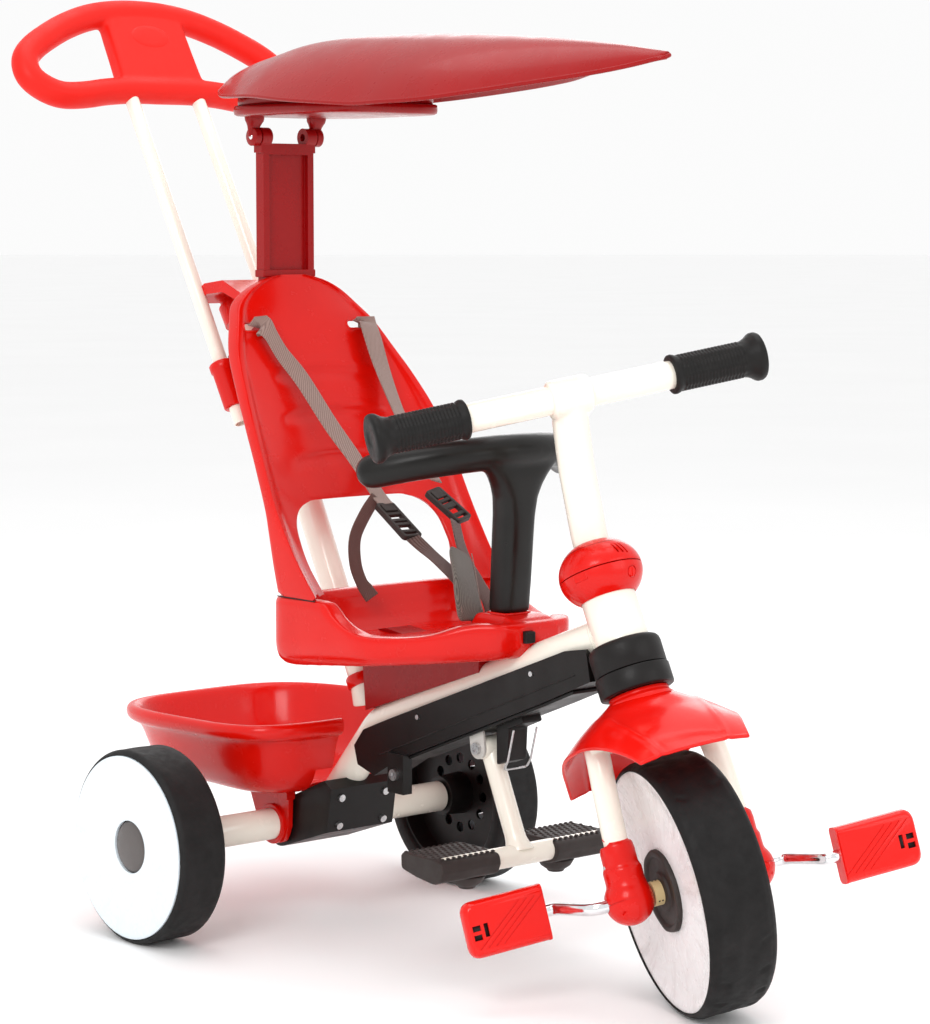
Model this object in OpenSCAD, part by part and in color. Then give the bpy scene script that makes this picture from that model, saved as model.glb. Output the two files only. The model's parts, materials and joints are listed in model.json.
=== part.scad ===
// Child's tricycle with parent push handle, canopy, guard bar and load basket.
// Front is -Y, the rider's left is +X, up is +Z, and the tyres stand on Z = 0.

/* [Wheels] */
// outer diameter of a rear tyre
rear_tyre_d = 205; // [180:1:230]
// width of a rear tyre
rear_tyre_w = 57; // [40:1:70]
// outer diameter of the front tyre
front_tyre_d = 250; // [220:1:290]
// width of the front tyre
front_tyre_w = 72; // [50:1:84]
// distance between the outer faces of the rear wheels
rear_track = 494; // [420:1:560]

/* [Frame] */
// distance from the rear axle forward to the steering axis foot
axis_y = 596.8; // [560:0.1:640]
// height of the steering axis foot above the ground
axis_z = 136.13; // [120:0.05:150]
// lean of the steering axis back from the vertical
rake = 25.9; // [15:0.1:35]
// turn of the handlebar from straight ahead, in the resting pose
steer_rest = -24.55; // [-40:0.05:40]
// distance of the wheel hub behind the steering axis
trail = 22.6; // [0:0.1:40]
// diameter of the main frame tube
main_tube_d = 36; // [28:0.5:44]
// diameter of the rear axle tube
axle_tube_d = 34; // [28:0.5:40]
// diameter of the rear axle rod
axle_d = 10; // [8:0.5:12]
// diameter of the column behind the seat
column_d = 30; // [24:0.5:36]

/* [Steering] */
// length of the handlebar from end to end
bar_len = 405; // [340:1:460]
// diameter of the handlebar tube
bar_d = 28; // [22:0.5:32]
// length of one grip
grip_len = 96; // [70:1:120]
// diameter of the steerer tube inside the head
steerer_d = 30; // [25:0.5:36]

/* [Pedals] */
// throw of the crank
crank_throw = 58; // [40:1:90]
// length of a pedal
pedal_len = 82; // [70:1:110]
// height of the pedal face
pedal_h = 55; // [40:1:60]
// thickness of a pedal
pedal_t = 20; // [16:1:28]
// diameter of the crank rod
crank_d = 12; // [10:0.5:14]

/* [Seat] */
// half width of the seat pan
pan_hw = 132; // [110:1:150]
// half length of the seat pan
pan_hl = 136; // [110:1:160]
// height of the seat floor at its middle
pan_z = 332; // [310:1:350]

/* [Push handle] */
// diameter of a push handle tube
push_tube_d = 16; // [12:0.5:22]
// distance between the two tubes
push_gap = 92; // [70:1:120]
// half width of the grip ring
ring_hw = 174; // [140:1:200]
// thickness of the grip ring
ring_d = 31; // [24:1:38]

/* [Hidden] */
$fn = 64;

red = "#e0200c";
dark_red = "#a51512";
cream = "#f3ecdc";
black = "#211f1e";
grey = "#5b5552";
steel = "#b9b9bb";

// the rear axle stands this far behind the middle of the whole length
axle_y = 191.8;
rear_r = rear_tyre_d / 2;
front_r = front_tyre_d / 2;
half_track = rear_track / 2;
tube_in = half_track - 66;
run = 0.05;
fold_y = -298;
fold_z = 222;
hinge_y = 42;
hinge_z = 845;
push_lean = 30;
push_top = [0, 275, 902];
eps = 0.01;

// unit vectors of the push handle in the Y-Z plane
pu = [0, sin(push_lean), cos(push_lean)];

// main tube: from the head, back and down, then steeper to the axle clamp
main_a = [0, -450, 347.6];
main_b = [0, -124, 225];
main_c = [0, -48, 139];

// the column from the main tube up behind the seat to the brace
column_pts = [[0, -101, 226], [0, -93, 262], [0, 5, 453], [0, 137, 662]];

// places in the frame of the rear axle
module trike() {
    translate([0, axle_y, 0]) children();
}

// places in the frame of the turned steering axis
module steered() {
    trike()
        translate([0, -axis_y, axis_z])
            rotate([-rake, 0, 0])
                rotate([0, 0, steer_rest])
                    children();
}

// the steering axis without the turn of the handlebar
module head() {
    trike()
        translate([0, -axis_y, axis_z])
            rotate([-rake, 0, 0])
                children();
}

// straight rod between two points
module rod(p, q, r, fn = 48) {
    d = q - p;
    l = norm(d);
    translate(p)
        rotate([0, acos(d[2] / l), atan2(d[1], d[0])])
            cylinder(h = l, r = r, $fn = fn);
}

// bent rod through several points with slightly fuller ball joints
module bent_rod(pts, r, fn = 48) {
    for (i = [0 : len(pts) - 2])
        rod(pts[i], pts[i + 1], r, fn);
    for (i = [1 : 1 : len(pts) - 2])
        translate(pts[i]) sphere(r = r + 0.2, $fn = fn);
}

// cylinder along X centred on the origin
module x_cyl(r, l, fn = 64) {
    rotate([0, 90, 0]) cylinder(h = l, r = r, center = true, $fn = fn);
}

// solid of revolution about X from (radius, x) points, for one side
module x_turn(pts, side = 1, fn = 96) {
    mirror([side < 0 ? 1 : 0, 0, 0])
        rotate([0, 90, 0])
            rotate_extrude($fn = fn)
                polygon(pts);
}

// plate in the Y-Z plane, centred on X = 0
module yz_plate(pts, w) {
    rotate([90, 0, 90]) linear_extrude(height = w, center = true) polygon(pts);
}

// values looked up between the knots of a table of pairs
function look(x, tab) = lookup(x, tab);

// closed surface through rings of equal length, with capped ends
module skin(rings) {
    n = len(rings);
    m = len(rings[0]);
    one = [for (k = [1 : m]) 1];
    c0 = one * rings[0] / m;
    c1 = one * rings[n - 1] / m;
    pts = concat([for (r = rings) each r], [c0, c1]);
    side = [for (i = [0 : n - 2], j = [0 : m - 1])
        let (a = i * m + j, b = i * m + (j + 1) % m)
        each [[a, b, a + m], [b, b + m, a + m]]];
    low = [for (j = [0 : m - 1]) [n * m, (j + 1) % m, j]];
    top = [for (j = [0 : m - 1])
        [n * m + 1, (n - 1) * m + j, (n - 1) * m + (j + 1) % m]];
    polyhedron(points = pts, faces = concat(side, low, top));
}

// closed loop of rings, for a bent ring with no ends
module loop_skin(rings) {
    n = len(rings);
    m = len(rings[0]);
    side = [for (i = [0 : n - 1], j = [0 : m - 1])
        let (k = (i + 1) % n, a = i * m + j, b = i * m + (j + 1) % m,
            c = k * m + j, d = k * m + (j + 1) % m)
        each [[a, b, c], [b, d, c]]];
    polyhedron(points = [for (r = rings) each r], faces = side);
}

// thick sheet between an outer grid p and an inner grid q of the same size
module slab(p, q) {
    n = len(p);
    m = len(p[0]);
    o = n * m;
    pts = concat([for (r = p) each r], [for (r = q) each r]);
    up = [for (i = [0 : n - 2], j = [0 : m - 2])
        let (a = i * m + j)
        each [[a, a + m, a + 1], [a + 1, a + m, a + m + 1]]];
    down = [for (f = up) [f[0] + o, f[2] + o, f[1] + o]];
    left = [for (i = [0 : n - 2])
        let (a = i * m, b = a + m)
        each [[a, a + o, b], [b, a + o, b + o]]];
    right = [for (i = [0 : n - 2])
        let (a = i * m + m - 1, b = a + m)
        each [[a, b, a + o], [b, b + o, a + o]]];
    near = [for (j = [0 : m - 2])
        let (a = j, b = j + 1)
        each [[a, b, a + o], [b, b + o, a + o]]];
    far = [for (j = [0 : m - 2])
        let (a = (n - 1) * m + j, b = a + 1)
        each [[a, a + o, b], [b, a + o, b + o]]];
    polyhedron(points = pts, faces = concat(up, down, left, right, near, far));
}

// rounded rectangle with its lower left corner at p
module soft_rect(p, s, r) {
    translate(p) union() {
        translate([r, 0]) square([s[0] - 2 * r, s[1]]);
        translate([0, r]) square([s[0], s[1] - 2 * r]);
        for (i = [r, s[0] - r], j = [r, s[1] - r])
            translate([i, j]) circle(r = r, $fn = 32);
    }
}

// ---------------------------------------------------------------- frame

module main_tube() {
    color(cream) trike() difference() {
        union() {
            rod(main_a, main_b, main_tube_d / 2);
            rod(main_b, main_c, main_tube_d / 2);
            translate(main_b) sphere(r = main_tube_d / 2 + 0.2, $fn = 48);
        }
        rod(main_a - [0, 20, -7.5], main_b - [0, 34, -12.8],
            main_tube_d / 2 - 2);
        rod(main_b + [0, 18, -20.4], main_c + [0, 6, -7],
            main_tube_d / 2 - 2);
        translate([0, -axis_y, axis_z]) rotate([-rake, 0, 0])
            cylinder(h = 400, r = 27);
        rod(column_pts[0], column_pts[1], 10);
    }
}

module head_tube() {
    color(cream) head() difference() {
        translate([0, 0, 212]) cylinder(h = 88, r = 27);
        translate([0, 0, 200])
            cylinder(h = 120, r = steerer_d / 2 + run);
    }
}

module headset_cup() {
    color(black) head() difference() {
        translate([0, 0, 208.3]) cylinder(h = 29.7, r = 36);
        translate([0, 0, 212]) cylinder(h = 40, r = 27);
        translate([0, 0, 200]) cylinder(h = 20, r = steerer_d / 2 + 0.1);
    }
}

module seat_column() {
    color(cream) trike() difference() {
        union() {
            rod(column_pts[0], column_pts[1], 10);
            rod(column_pts[1], column_pts[2], column_d / 2);
            rod(column_pts[2], column_pts[3], column_d / 2);
            for (p = [column_pts[1], column_pts[2]])
                translate(p) sphere(r = column_d / 2 + 0.2, $fn = 48);
        }
        rod(column_pts[2] + 22 * [0, 0.534, 0.845],
            column_pts[3] + 9 * [0, 0.534, 0.845], column_d / 2 - 2.5);
    }
}

channel_pts = [[-160, 234], [-437, 338], [-468, 343], [-474, 312],
    [-403, 282], [-296, 240], [-183, 196], [-140, 172], [-112, 180],
    [-106, 200], [-122, 219]];

module channel_cover() {
    color(black) difference() {
        union() {
            trike() yz_plate(channel_pts, 50);
            trike() translate([-25, -183, 180]) x_cyl(13, 12);
            trike() translate([-31, -196, 160]) cube([12, 26, 42]);
        }
        trike() rod(main_a - [0, 40, -15.04], main_b, main_tube_d / 2);
        trike() rod(main_b, main_c, main_tube_d / 2);
        trike() translate(main_b) sphere(r = main_tube_d / 2 + 0.2, $fn = 48);
        head() translate([0, 0, 208]) cylinder(h = 60, r = 36);
        head() translate([0, 0, 100]) cylinder(h = 108, r = 40);
        trike() translate([0, -298, 222]) cube([34.2, 50, 70], center = true);
        trike() translate([-20, -183, 180]) x_cyl(3, 60, 24);
    }
}

module frame_screws() {
    color(steel) trike() {
        difference() {
            translate([-33, -183, 180]) x_cyl(6, 4, 32);
            translate([-35, -183, 180]) x_cyl(3, 3, 6);
        }
        translate([-25, -183, 180]) x_cyl(3, 16, 24);
        for (p = [[-213, 244], [-389, 310]])
            translate([-25.8, p[0], p[1]]) x_cyl(2.6, 1.6, 24);
        for (x = [-30, 30])
            rod([x, -82, 112], [x, -88, 110], 4, 24);
        for (x = [-30, 30])
            rod([x, -86, 142], [x, -92.5, 141], 4, 24);
    }
}

module axle_clamp() {
    color(black) trike() difference() {
        union() {
            translate([0, 0, rear_r]) x_cyl(26, 90);
            yz_plate([[-8, 78], [-84, 104], [-92, 152], [-80, 160],
                [-6, 128]], 90);
        }
        translate([0, 0, rear_r]) x_cyl(axle_tube_d / 2, 100);
        rod(main_b, main_c, main_tube_d / 2);
        for (x = [-30, 30]) {
            rod([x, -82, 112], [x, -88, 110], 4, 24);
            rod([x, -86, 142], [x, -92.5, 141], 4, 24);
        }
    }
}

module axle_tube() {
    color(cream) trike() translate([0, 0, rear_r]) difference() {
        x_cyl(axle_tube_d / 2, 2 * tube_in);
        x_cyl(axle_tube_d / 2 - 2, 2 * tube_in + 2);
    }
}

module axle_rod() {
    color(steel) trike() translate([0, 0, rear_r])
        x_cyl(axle_d / 2, 2 * half_track - 23);
}

module axle_bushes() {
    color(black) trike() translate([0, 0, rear_r]) for (s = [-1, 1])
        difference() {
            union() {
                translate([s * (tube_in - 10), 0, 0])
                    x_cyl(axle_tube_d / 2 - 2, 20);
                translate([s * (tube_in + 0.75), 0, 0])
                    x_cyl(axle_tube_d / 2 - 0.5, 1.5);
            }
            translate([s * tube_in, 0, 0]) x_cyl(axle_d / 2, 60);
        }
}

// ---------------------------------------------------------------- basket

function basket_x(a) = let (c = cos(a))
    (c < 0 ? -1 : 1) * pow(abs(c), 0.5) * (143 - 10 * sin(a));
function basket_y(a) = let (s = sin(a))
    s < 0 ? 60 - pow(-s, 0.55) * 152 : 60 + pow(s, 0.62) * 163;
function basket_ring(s, z, tilt, m = 56) = [for (j = [0 : m - 1])
    let (a = 360 * j / m, x = basket_x(a), y = basket_y(a))
    [x * s, 40 + (y - 40) * s, z - tilt * (y - 60)]];

module basket() {
    color(red) trike() difference() {
        skin([
            basket_ring(0.08, 146, 0),
            basket_ring(0.55, 146, 0),
            basket_ring(0.7, 152, 0),
            basket_ring(0.8, 166, 0.01),
            basket_ring(0.86, 187, 0.02),
            basket_ring(0.9, 212, 0.03),
            basket_ring(0.93, 221, 0.03),
            basket_ring(0.97, 222, 0.03),
            basket_ring(1, 216, 0.03),
            basket_ring(0.995, 208, 0.03),
            basket_ring(0.94, 204, 0.03),
            basket_ring(0.885, 185, 0.02),
            basket_ring(0.825, 164, 0.01),
            basket_ring(0.73, 148, 0),
            basket_ring(0.56, 141, 0),
            basket_ring(0.08, 141, 0)
        ]);
        translate([-24, -130, 130]) cube([48, 105, 150]);
        translate([-48, -130, 130]) cube([96, 96, 40]);
    }
}

module basket_brackets() {
    color(red) trike() for (x = [-50, 50])
        translate([x, 0, 0]) difference() {
            union() {
                yz_plate([[-24, 100], [-18, 84], [18, 84], [30, 104],
                    [46, 141], [-26, 141]], 8);
                translate([0, 0, rear_r]) x_cyl(22, 8);
            }
            translate([0, 0, rear_r]) x_cyl(axle_tube_d / 2, 20);
        }
}

// ---------------------------------------------------------------- seat

pan_w = [[-372, 22], [-366, 44], [-350, 60], [-325, 84], [-290, 108],
    [-250, 127], [-200, 131], [-150, 132], [-116, 131], [-100, 122],
    [-94, 104]];
rim_h = [[-372, 358], [-345, 357], [-311, 345], [-270, 341], [-240, 342],
    [-215, 350], [-200, 358], [-190, 369], [-94, 369]];
// outline of the pan, front middle round to rear middle and back
pan_side = concat([[0, -373]], [for (k = pan_w) [k[1], k[0]]],
    [[80, -93], [50, -92], [20, -92], [0, -92]]);
pan_edge = concat(pan_side, [for (i = [len(pan_side) - 2 : -1 : 1])
    [-pan_side[i][0], pan_side[i][1]]]);
pan_c = [0, -225];
pan_k = [pan_hw / 132, pan_hl / 136];
function pan_ring(s, z, k) = [for (e = pan_edge)
    let (q = pan_c + [(e[0] - pan_c[0]) * pan_k[0],
        (e[1] - pan_c[1]) * pan_k[1]] * s)
    [q[0], q[1], z * (1 - k) + k * look(e[1], rim_h)]];
function pan_low(s, z) = [for (e = pan_edge)
    let (q = pan_c + [(e[0] - pan_c[0]) * pan_k[0],
        (e[1] - pan_c[1]) * pan_k[1]] * s)
    [q[0], q[1], z - 0.1 * (e[1] - pan_c[1]) * s]];

module seat_pan() {
    color(red) trike() difference() {
        skin([
            pan_low(0.06, pan_z),
            pan_low(0.5, pan_z),
            pan_low(0.74, pan_z),
            pan_ring(0.82, pan_z, 0.5),
            pan_ring(0.86, pan_z, 0.9),
            pan_ring(0.89, pan_z, 1),
            pan_ring(0.97, pan_z, 1),
            pan_ring(1, pan_z, 0.9),
            pan_low(1, pan_z),
            pan_low(0.98, pan_z - 14),
            pan_low(0.93, pan_z - 22),
            pan_low(0.86, pan_z - 25),
            pan_low(0.82, pan_z - 23),
            pan_low(0.76, pan_z - 6),
            pan_low(0.5, pan_z - 6),
            pan_low(0.06, pan_z - 6)
        ]);
        translate([-26, -380, 300]) cube([52, 75, 80]);
        translate([-20, -100, 320]) cube([40, 40, 80]);
        rod(column_pts[1], column_pts[2], column_d / 2);
        yz_plate([[-116, 238], [-108, 322], [-150, 329.5], [-200, 324],
            [-300, 322], [-300, 300]], 34);
    }
}

module seat_fin() {
    color(dark_red) trike() difference() {
        yz_plate([[-116, 238], [-108, 322], [-150, 329.5], [-200, 324],
            [-300, 322], [-300, 300]], 34);
        rod(main_a, main_b, main_tube_d / 2);
        translate(main_b) sphere(r = main_tube_d / 2 + 0.2, $fn = 48);
        rod(column_pts[0], column_pts[1], 10);
        rod(column_pts[1], column_pts[2], column_d / 2);
        translate(column_pts[1]) sphere(r = column_d / 2 + 0.2, $fn = 48);
    }
}

module guard_socket() {
    color(red) trike() difference() {
        yz_plate([[-372, 333], [-372, 352], [-362, 360], [-350, 363],
            [-305, 363], [-305, 318], [-350, 320]], 52);
        translate([-13.2, -337.2, 300]) cube([26.4, 20.4, 80]);
        rod(main_a, main_b, main_tube_d / 2);
        translate([-21.2, -380, 337.8]) cube([12.4, 18, 12.4]);
    }
}

back_w = [[369, 130], [400, 131], [430, 132], [457, 132], [485, 131],
    [512, 129], [535, 127], [560, 123], [585, 117], [605, 111], [625, 103],
    [645, 93], [662, 82], [676, 68], [686, 52], [693, 34], [697, 14]];
back_y = [[369, -112], [462, -76], [550, -40], [642, 2], [697, 31]];
rim_y = [[369, -178], [400, -150], [430, -128], [457, -111], [512, -82],
    [550, -60], [585, -35], [615, -12], [647, 8], [668, 24], [697, 31]];
rim_t = [[369, 64], [400, 44], [430, 28], [457, 18], [500, 15],
    [662, 15], [686, 8], [697, 5]];
back_s = [-1, -0.95, -0.87, -0.7, -0.4, 0, 0.4, 0.7, 0.87, 0.95, 1];
function back_f(s) = pow(abs(s), 2.4);
function back_p(z, s) = [s * look(z, back_w),
    look(z, back_y) + (look(z, rim_y) - look(z, back_y)) * back_f(s)
        - (abs(s) > 0.9 && abs(s) < 1 ? 3 : 0), z];

module backrest() {
    front = [for (k = back_w) [for (s = back_s) back_p(k[0], s)]];
    back = [for (k = back_w) [for (s = back_s)
        back_p(k[0], s) + [0, abs(s) > 0.8 ? look(k[0], rim_t) : 5, 0]]];
    color(red) trike() difference() {
        slab(front, back);
        translate([0, 0, 369]) rotate([90, 0, 0])
            linear_extrude(height = 240)
                polygon([[-84, -6], [-92, 12], [-99, 40], [-97, 66],
                    [-86, 83], [-62, 92], [62, 92], [86, 83], [97, 66],
                    [99, 40], [92, 12], [84, -6]]);
        for (x = [-70, 70])
            translate([x, -10, 642]) cube([44, 60, 7], center = true);
    }
}

// moulded web behind the backrest that carries the sleeves and canopy post
module back_bracket() {
    color(dark_red) trike() difference() {
        union() {
            for (x = [-43, 43])
                translate([x, 0, 0]) yz_plate([[-25, 573], [74, 556],
                    [98, 600], [40, 640], [36, 680], [30, 680],
                    [20, 662], [8.4, 642], [0.8, 626], [-11.8, 600]], 6);
            yz_plate([[60, 575], [78, 568], [92, 594], [73, 600]], 80);
            translate([-42, 30, 640]) cube([84, 6, 40]);
        }
        rod(column_pts[2], column_pts[3], column_d / 2);
        for (s = [-1, 1])
            translate(push_top) translate([s * push_gap / 2, 0, 0]) {
                rod(-420 * pu, 0 * pu, 13);
                rod(-359 * pu, -349 * pu, 14.6);
            }
    }
}

module handle_sleeves() {
    color(red) trike() for (s = [-1, 1])
        translate(push_top) translate([s * push_gap / 2, 0, 0])
            difference() {
                union() {
                    rod(-404 * pu, -352 * pu, 13);
                    rod(-358 * pu, -350 * pu, 14.5);
                }
                rod(-420 * pu, -330 * pu, push_tube_d / 2 + run);
            }
}

module handle_brace() {
    color(red) trike() difference() {
        union() {
            yz_plate([[52, 671], [100, 690], [134, 686], [154, 674],
                [149, 663], [130, 674], [100, 677], [52, 661]], 88);
            rod(column_pts[3] - 24 * [0, 0.534, 0.845], column_pts[3], 19);
            rod(column_pts[3] - 2 * [0, 0.534, 0.845],
                column_pts[3] + 16 * [0, 0.534, 0.845], 15.4);
        }
        rod(column_pts[2], column_pts[3], column_d / 2);
        for (s = [-1, 1])
            translate(push_top) translate([s * push_gap / 2, 0, 0])
                rod(-330 * pu, -170 * pu, push_tube_d / 2 + run);
    }
}

module canopy_post() {
    color(dark_red) trike() difference() {
        union() {
            translate([-32, 36, 640]) cube([64, 14, 60]);
            yz_plate([[36, 699], [50, 699], [50, 838], [36, 838]], 68);
            for (s = [-1, 1])
                translate([s * 30, hinge_y, hinge_z]) x_cyl(10, 13);
            for (s = [-1, 1])
                translate([s * 30 - 6.5, 36, 828]) cube([13, 14, 16]);
        }
        translate([-26, 30, 646]) cube([52, 12, 180]);
        for (s = [-1, 1])
            translate([s * 30, hinge_y, hinge_z]) x_cyl(4, 40);
    }
}

// ---------------------------------------------------------------- footrest

module footrest_ears() {
    color(steel) trike() difference() {
        union() for (s = [-1, 1]) translate([s * 15.5, 0, 0]) {
            yz_plate([[fold_y - 11, fold_z], [fold_y + 11, fold_z],
                [fold_y + 15, 252], [fold_y - 7, 252]], 3);
            translate([0, fold_y, fold_z]) x_cyl(11, 3);
        }
        translate([0, fold_y, fold_z]) x_cyl(3, 60, 32);
    }
}

module footrest_pin() {
    color(steel) trike() translate([0, fold_y, fold_z]) union() {
        x_cyl(3, 36, 32);
        for (s = [-1, 1]) difference() {
            translate([s * 19, 0, 0]) x_cyl(6, 4, 32);
            translate([s * 21, 0, 0]) x_cyl(3.2, 3, 6);
        }
    }
}

module footrest_block() {
    color(black) trike() yz_plate([[-322, 250.2], [-360, 265.1],
        [-364, 256], [-342, 247], [-340, 214], [-323, 208]], 27);
}

module footrest_bar() {
    color(cream) trike() difference() {
        union() {
            rod([0, fold_y - 6, fold_z - 12], [0, -345, 118], 10.5);
            translate([0, -345, 118]) x_cyl(11, 210);
            translate([0, fold_y, fold_z]) x_cyl(11.5, 27);
            rod([0, fold_y, fold_z], [0, fold_y - 9, fold_z - 20], 13);
        }
        translate([0, fold_y, fold_z]) x_cyl(3 + run, 60, 32);
    }
}

module foot_pads() {
    color(black) trike() for (s = [-1, 1]) difference() {
        union() {
            translate([s * 76, -345, 118]) x_cyl(15, 78);
            translate([s * 76 - 39, -345, 112]) cube([78, 52, 18]);
            translate([s * 62, -332, 110]) sphere(r = 20, $fn = 40);
        }
        translate([s * 70, -345, 118]) x_cyl(11, 70);
        translate([s * 76 - 60, -390, 130]) cube([120, 120, 20]);
    }
}

// ---------------------------------------------------------------- steering

module fork() {
    color(cream) steered() difference() {
        union() {
            translate([0, 0, 140]) cylinder(h = 205, r = steerer_d / 2);
            translate([0, 4, 145]) cube([132, 26, 12], center = true);
            for (s = [-1, 1]) {
                bent_rod([[s * 56, 4, 146], [s * 60, 6, 108],
                    [s * 62, 18, 40], [s * 62, trail, 0]], 12);
                translate([s * 62, trail, 0]) x_cyl(14, 16);
            }
        }
        translate([0, 0, 156]) cylinder(h = 220, r = steerer_d / 2 - 2.5);
        translate([0, trail, 0]) x_cyl(crank_d / 2 + run, 200);
    }
}

module headset_ring() {
    color(black) steered() difference() {
        translate([0, 0, 187]) cylinder(h = 21, r = 37);
        translate([0, 0, 180]) cylinder(h = 40, r = steerer_d / 2);
    }
}

fender_t = [-50, -43, -34, -24, -12, 0, 12, 22, 31, 40];
fender_s = [-1, -0.94, -0.8, -0.55, -0.25, 0, 0.25, 0.55, 0.8, 0.94, 1];
fender_w = [[-50, 55], [-43, 60], [-34, 67], [-24, 73], [-12, 77], [0, 78],
    [12, 76], [22, 71], [31, 64], [40, 57]];
fender_d = [[-50, 5], [-34, 12], [-12, 20], [0, 21], [12, 18], [40, 8]];
fender_r = [[-50, 169], [-34, 171], [-24, 175], [-16, 181], [0, 182], [12, 177],
    [22, 171], [40, 169]];
function fender_p(t, s, g) = let (w = look(t, fender_w),
        r = 169 + (look(t, fender_r) - 169) * (1 - pow(abs(s), 2))
            - look(t, fender_d) * pow(abs(s), 2.6) - g)
    [s * (w - g * abs(s)), trail + r * sin(t), r * cos(t)];

module fender() {
    outer = [for (t = fender_t) [for (s = fender_s) fender_p(t, s, 0)]];
    inner = [for (t = fender_t) [for (s = fender_s) fender_p(t, s, 3)]];
    color(red) steered() union() {
        difference() {
            slab(outer, inner);
            cylinder(h = 200, r = 26);
        }
        difference() {
            translate([0, 0, 160]) cylinder(h = 26.7, r = 30);
            translate([0, 0, 150]) cylinder(h = 20, r = 26);
            translate([0, 0, 150]) cylinder(h = 60, r = steerer_d / 2);
        }
    }
}

function ball_pts(a0, a1) = [for (i = [0 : 8])
    let (a = a0 + (a1 - a0) * i / 8) [41.5 * cos(a), 34.5 * sin(a)]];

module shell_lower() {
    color(red) head() difference() {
        translate([0, 0, 309]) rotate_extrude($fn = 96)
            polygon(concat([[27, -0.4]],
                [for (p = ball_pts(-49.4, 0)) p - [0, 0.4]]));
    }
}

module shell_upper() {
    color(red) steered() difference() {
        translate([0, 0, 309]) rotate_extrude($fn = 96)
            polygon(concat([for (p = ball_pts(0, 62)) p + [0, 0.4]],
                [[18, 31], [18, 0.4]]));
        for (k = [0 : 2]) translate([28 + 5 * k, -34 + 3 * k, 326])
            rotate([0, 0, -40]) cube([2, 30, 12], center = true);
    }
}

stem_pts = [[0, 0, 345], [0, -26, 412], [0, -50, 452], [0, -67, 471]];

module stem() {
    color(cream) steered() difference() {
        union() {
            translate([0, 0, 300.4]) cylinder(h = 44.6, r = 18);
            for (i = [0 : 2]) {
                rod(stem_pts[i], stem_pts[i + 1], 18);
                translate(stem_pts[i]) sphere(r = 18.2, $fn = 48);
            }
            translate([0, -67, 471]) x_cyl(19, 40);
        }
        translate([0, 0, 290]) cylinder(h = 55, r = steerer_d / 2);
        translate([0, -67, 471]) x_cyl(bar_d / 2, 60);
    }
}

module handlebar() {
    color(cream) steered() translate([0, -67, 471]) difference() {
        x_cyl(bar_d / 2, bar_len - 8);
        x_cyl(bar_d / 2 - 2, bar_len);
    }
}

module grips() {
    h = bar_len / 2;
    a = h - grip_len;
    color(black) steered() translate([0, -67, 471]) for (s = [-1, 1])
        x_turn([[bar_d / 2, a], [19, a], [19.5, a + 3], [18, a + 8],
            [18, h - 20], [22, h - 10], [24, h - 6], [23, h - 1],
            [20, h], [0, h], [0, h - 4], [bar_d / 2, h - 4]], s);
}

module fork_covers() {
    color(red) steered() for (s = [-1, 1]) translate([s * 63, 0, 0])
        difference() {
            union() {
                translate([0, trail, 0]) sphere(r = 24, $fn = 64);
                rod([-s, trail, 0], [-s, 16, 52], 16.5);
                rod([s * 13, 18.5, 34], [s * 16.5, 18.5, 34], 3, 24);
            }
            rod([-s, trail, 0], [-s, 18, 40], 12);
            rod([-s, 18, 40], [-3 * s, 6, 108], 12);
            translate([-s, 18, 40]) sphere(r = 12.2, $fn = 48);
            translate([-s, trail, 0]) x_cyl(14, 16);
            translate([0, trail, 0]) x_cyl(crank_d / 2 + run, 80);
            translate([-s * 37, trail, 0]) cube([30, 60, 60], center = true);
        }
}

// ---------------------------------------------------------------- wheel

module front_tyre() {
    color(black) steered() translate([0, trail, 0]) rotate([0, 90, 0])
        rotate_extrude($fn = 128) difference() {
            soft_rect([front_r - 50, -front_tyre_w / 2],
                [50, front_tyre_w], 14);
            translate([60, -50]) square([44, 100]);
            for (m = [0, 1]) mirror([0, m])
                polygon([[103, 26.9], [104, 26.9], [110, 29.7],
                    [117.6, 30.8], [117.6, 38], [103, 38]]);
        }
}

module front_discs() {
    color("#e6e4e2") steered() translate([0, trail, 0]) for (s = [-1, 1])
        x_turn([[40, 22], [40, 26], [98, 27.5], [110, 32], [117.5, 32.5],
            [117.5, 30.9], [110, 29.8], [104, 27], [104, 22]], s, 128);
}

module front_hub() {
    color(black) steered() translate([0, trail, 0]) difference() {
        union() {
            x_cyl(18, 62);
            for (s = [-1, 1]) {
                translate([s * 28, 0, 0]) x_cyl(40, 6);
                translate([s * 20, 0, 0]) x_cyl(104, 4, 128);
            }
        }
        x_cyl(crank_d / 2, 100);
    }
}

module clutch_sleeves() {
    color("#d9c9a3") steered() translate([0, trail, 0]) for (s = [-1, 1])
        translate([s * 35.5, 0, 0]) difference() {
            x_cyl(12, 9);
            x_cyl(crank_d / 2, 20);
        }
}

crank_v = crank_throw * [0, cos(17), sin(17)];

module crankshaft() {
    color(steel) steered() translate([0, trail, 0]) union() {
        x_cyl(crank_d / 2, 200);
        for (s = [-1, 1]) {
            rod([s * 100, 0, 0], [s * 119, 0, 0] - s * crank_v,
                crank_d / 2, 32);
            translate([s * 100, 0, 0])
                sphere(r = crank_d / 2 + 0.2, $fn = 32);
            translate([s * 119, 0, 0] - s * crank_v)
                sphere(r = crank_d / 2 + 0.2, $fn = 32);
            rod([s * 119, 0, 0] - s * crank_v,
                [s * (128 + pedal_len), 0, 0] - s * crank_v, 4, 32);
        }
    }
}

module pedal(s) {
    color(red) steered()
        translate([s * (130 + pedal_len / 2), trail, 0] - s * crank_v)
            rotate([13, 0, 0]) difference() {
                cube([pedal_len, pedal_t, pedal_h], center = true);
                x_cyl(4 + run, pedal_len + 10, 32);
                for (t = [-1, 1], k = [0 : 1])
                    translate([s * (pedal_len / 2 - 12), t * pedal_t / 2,
                        -8 + 9 * k]) cube([7, 6, 6], center = true);
            }
}

module pedal_right() {
    pedal(-1);
}

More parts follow.
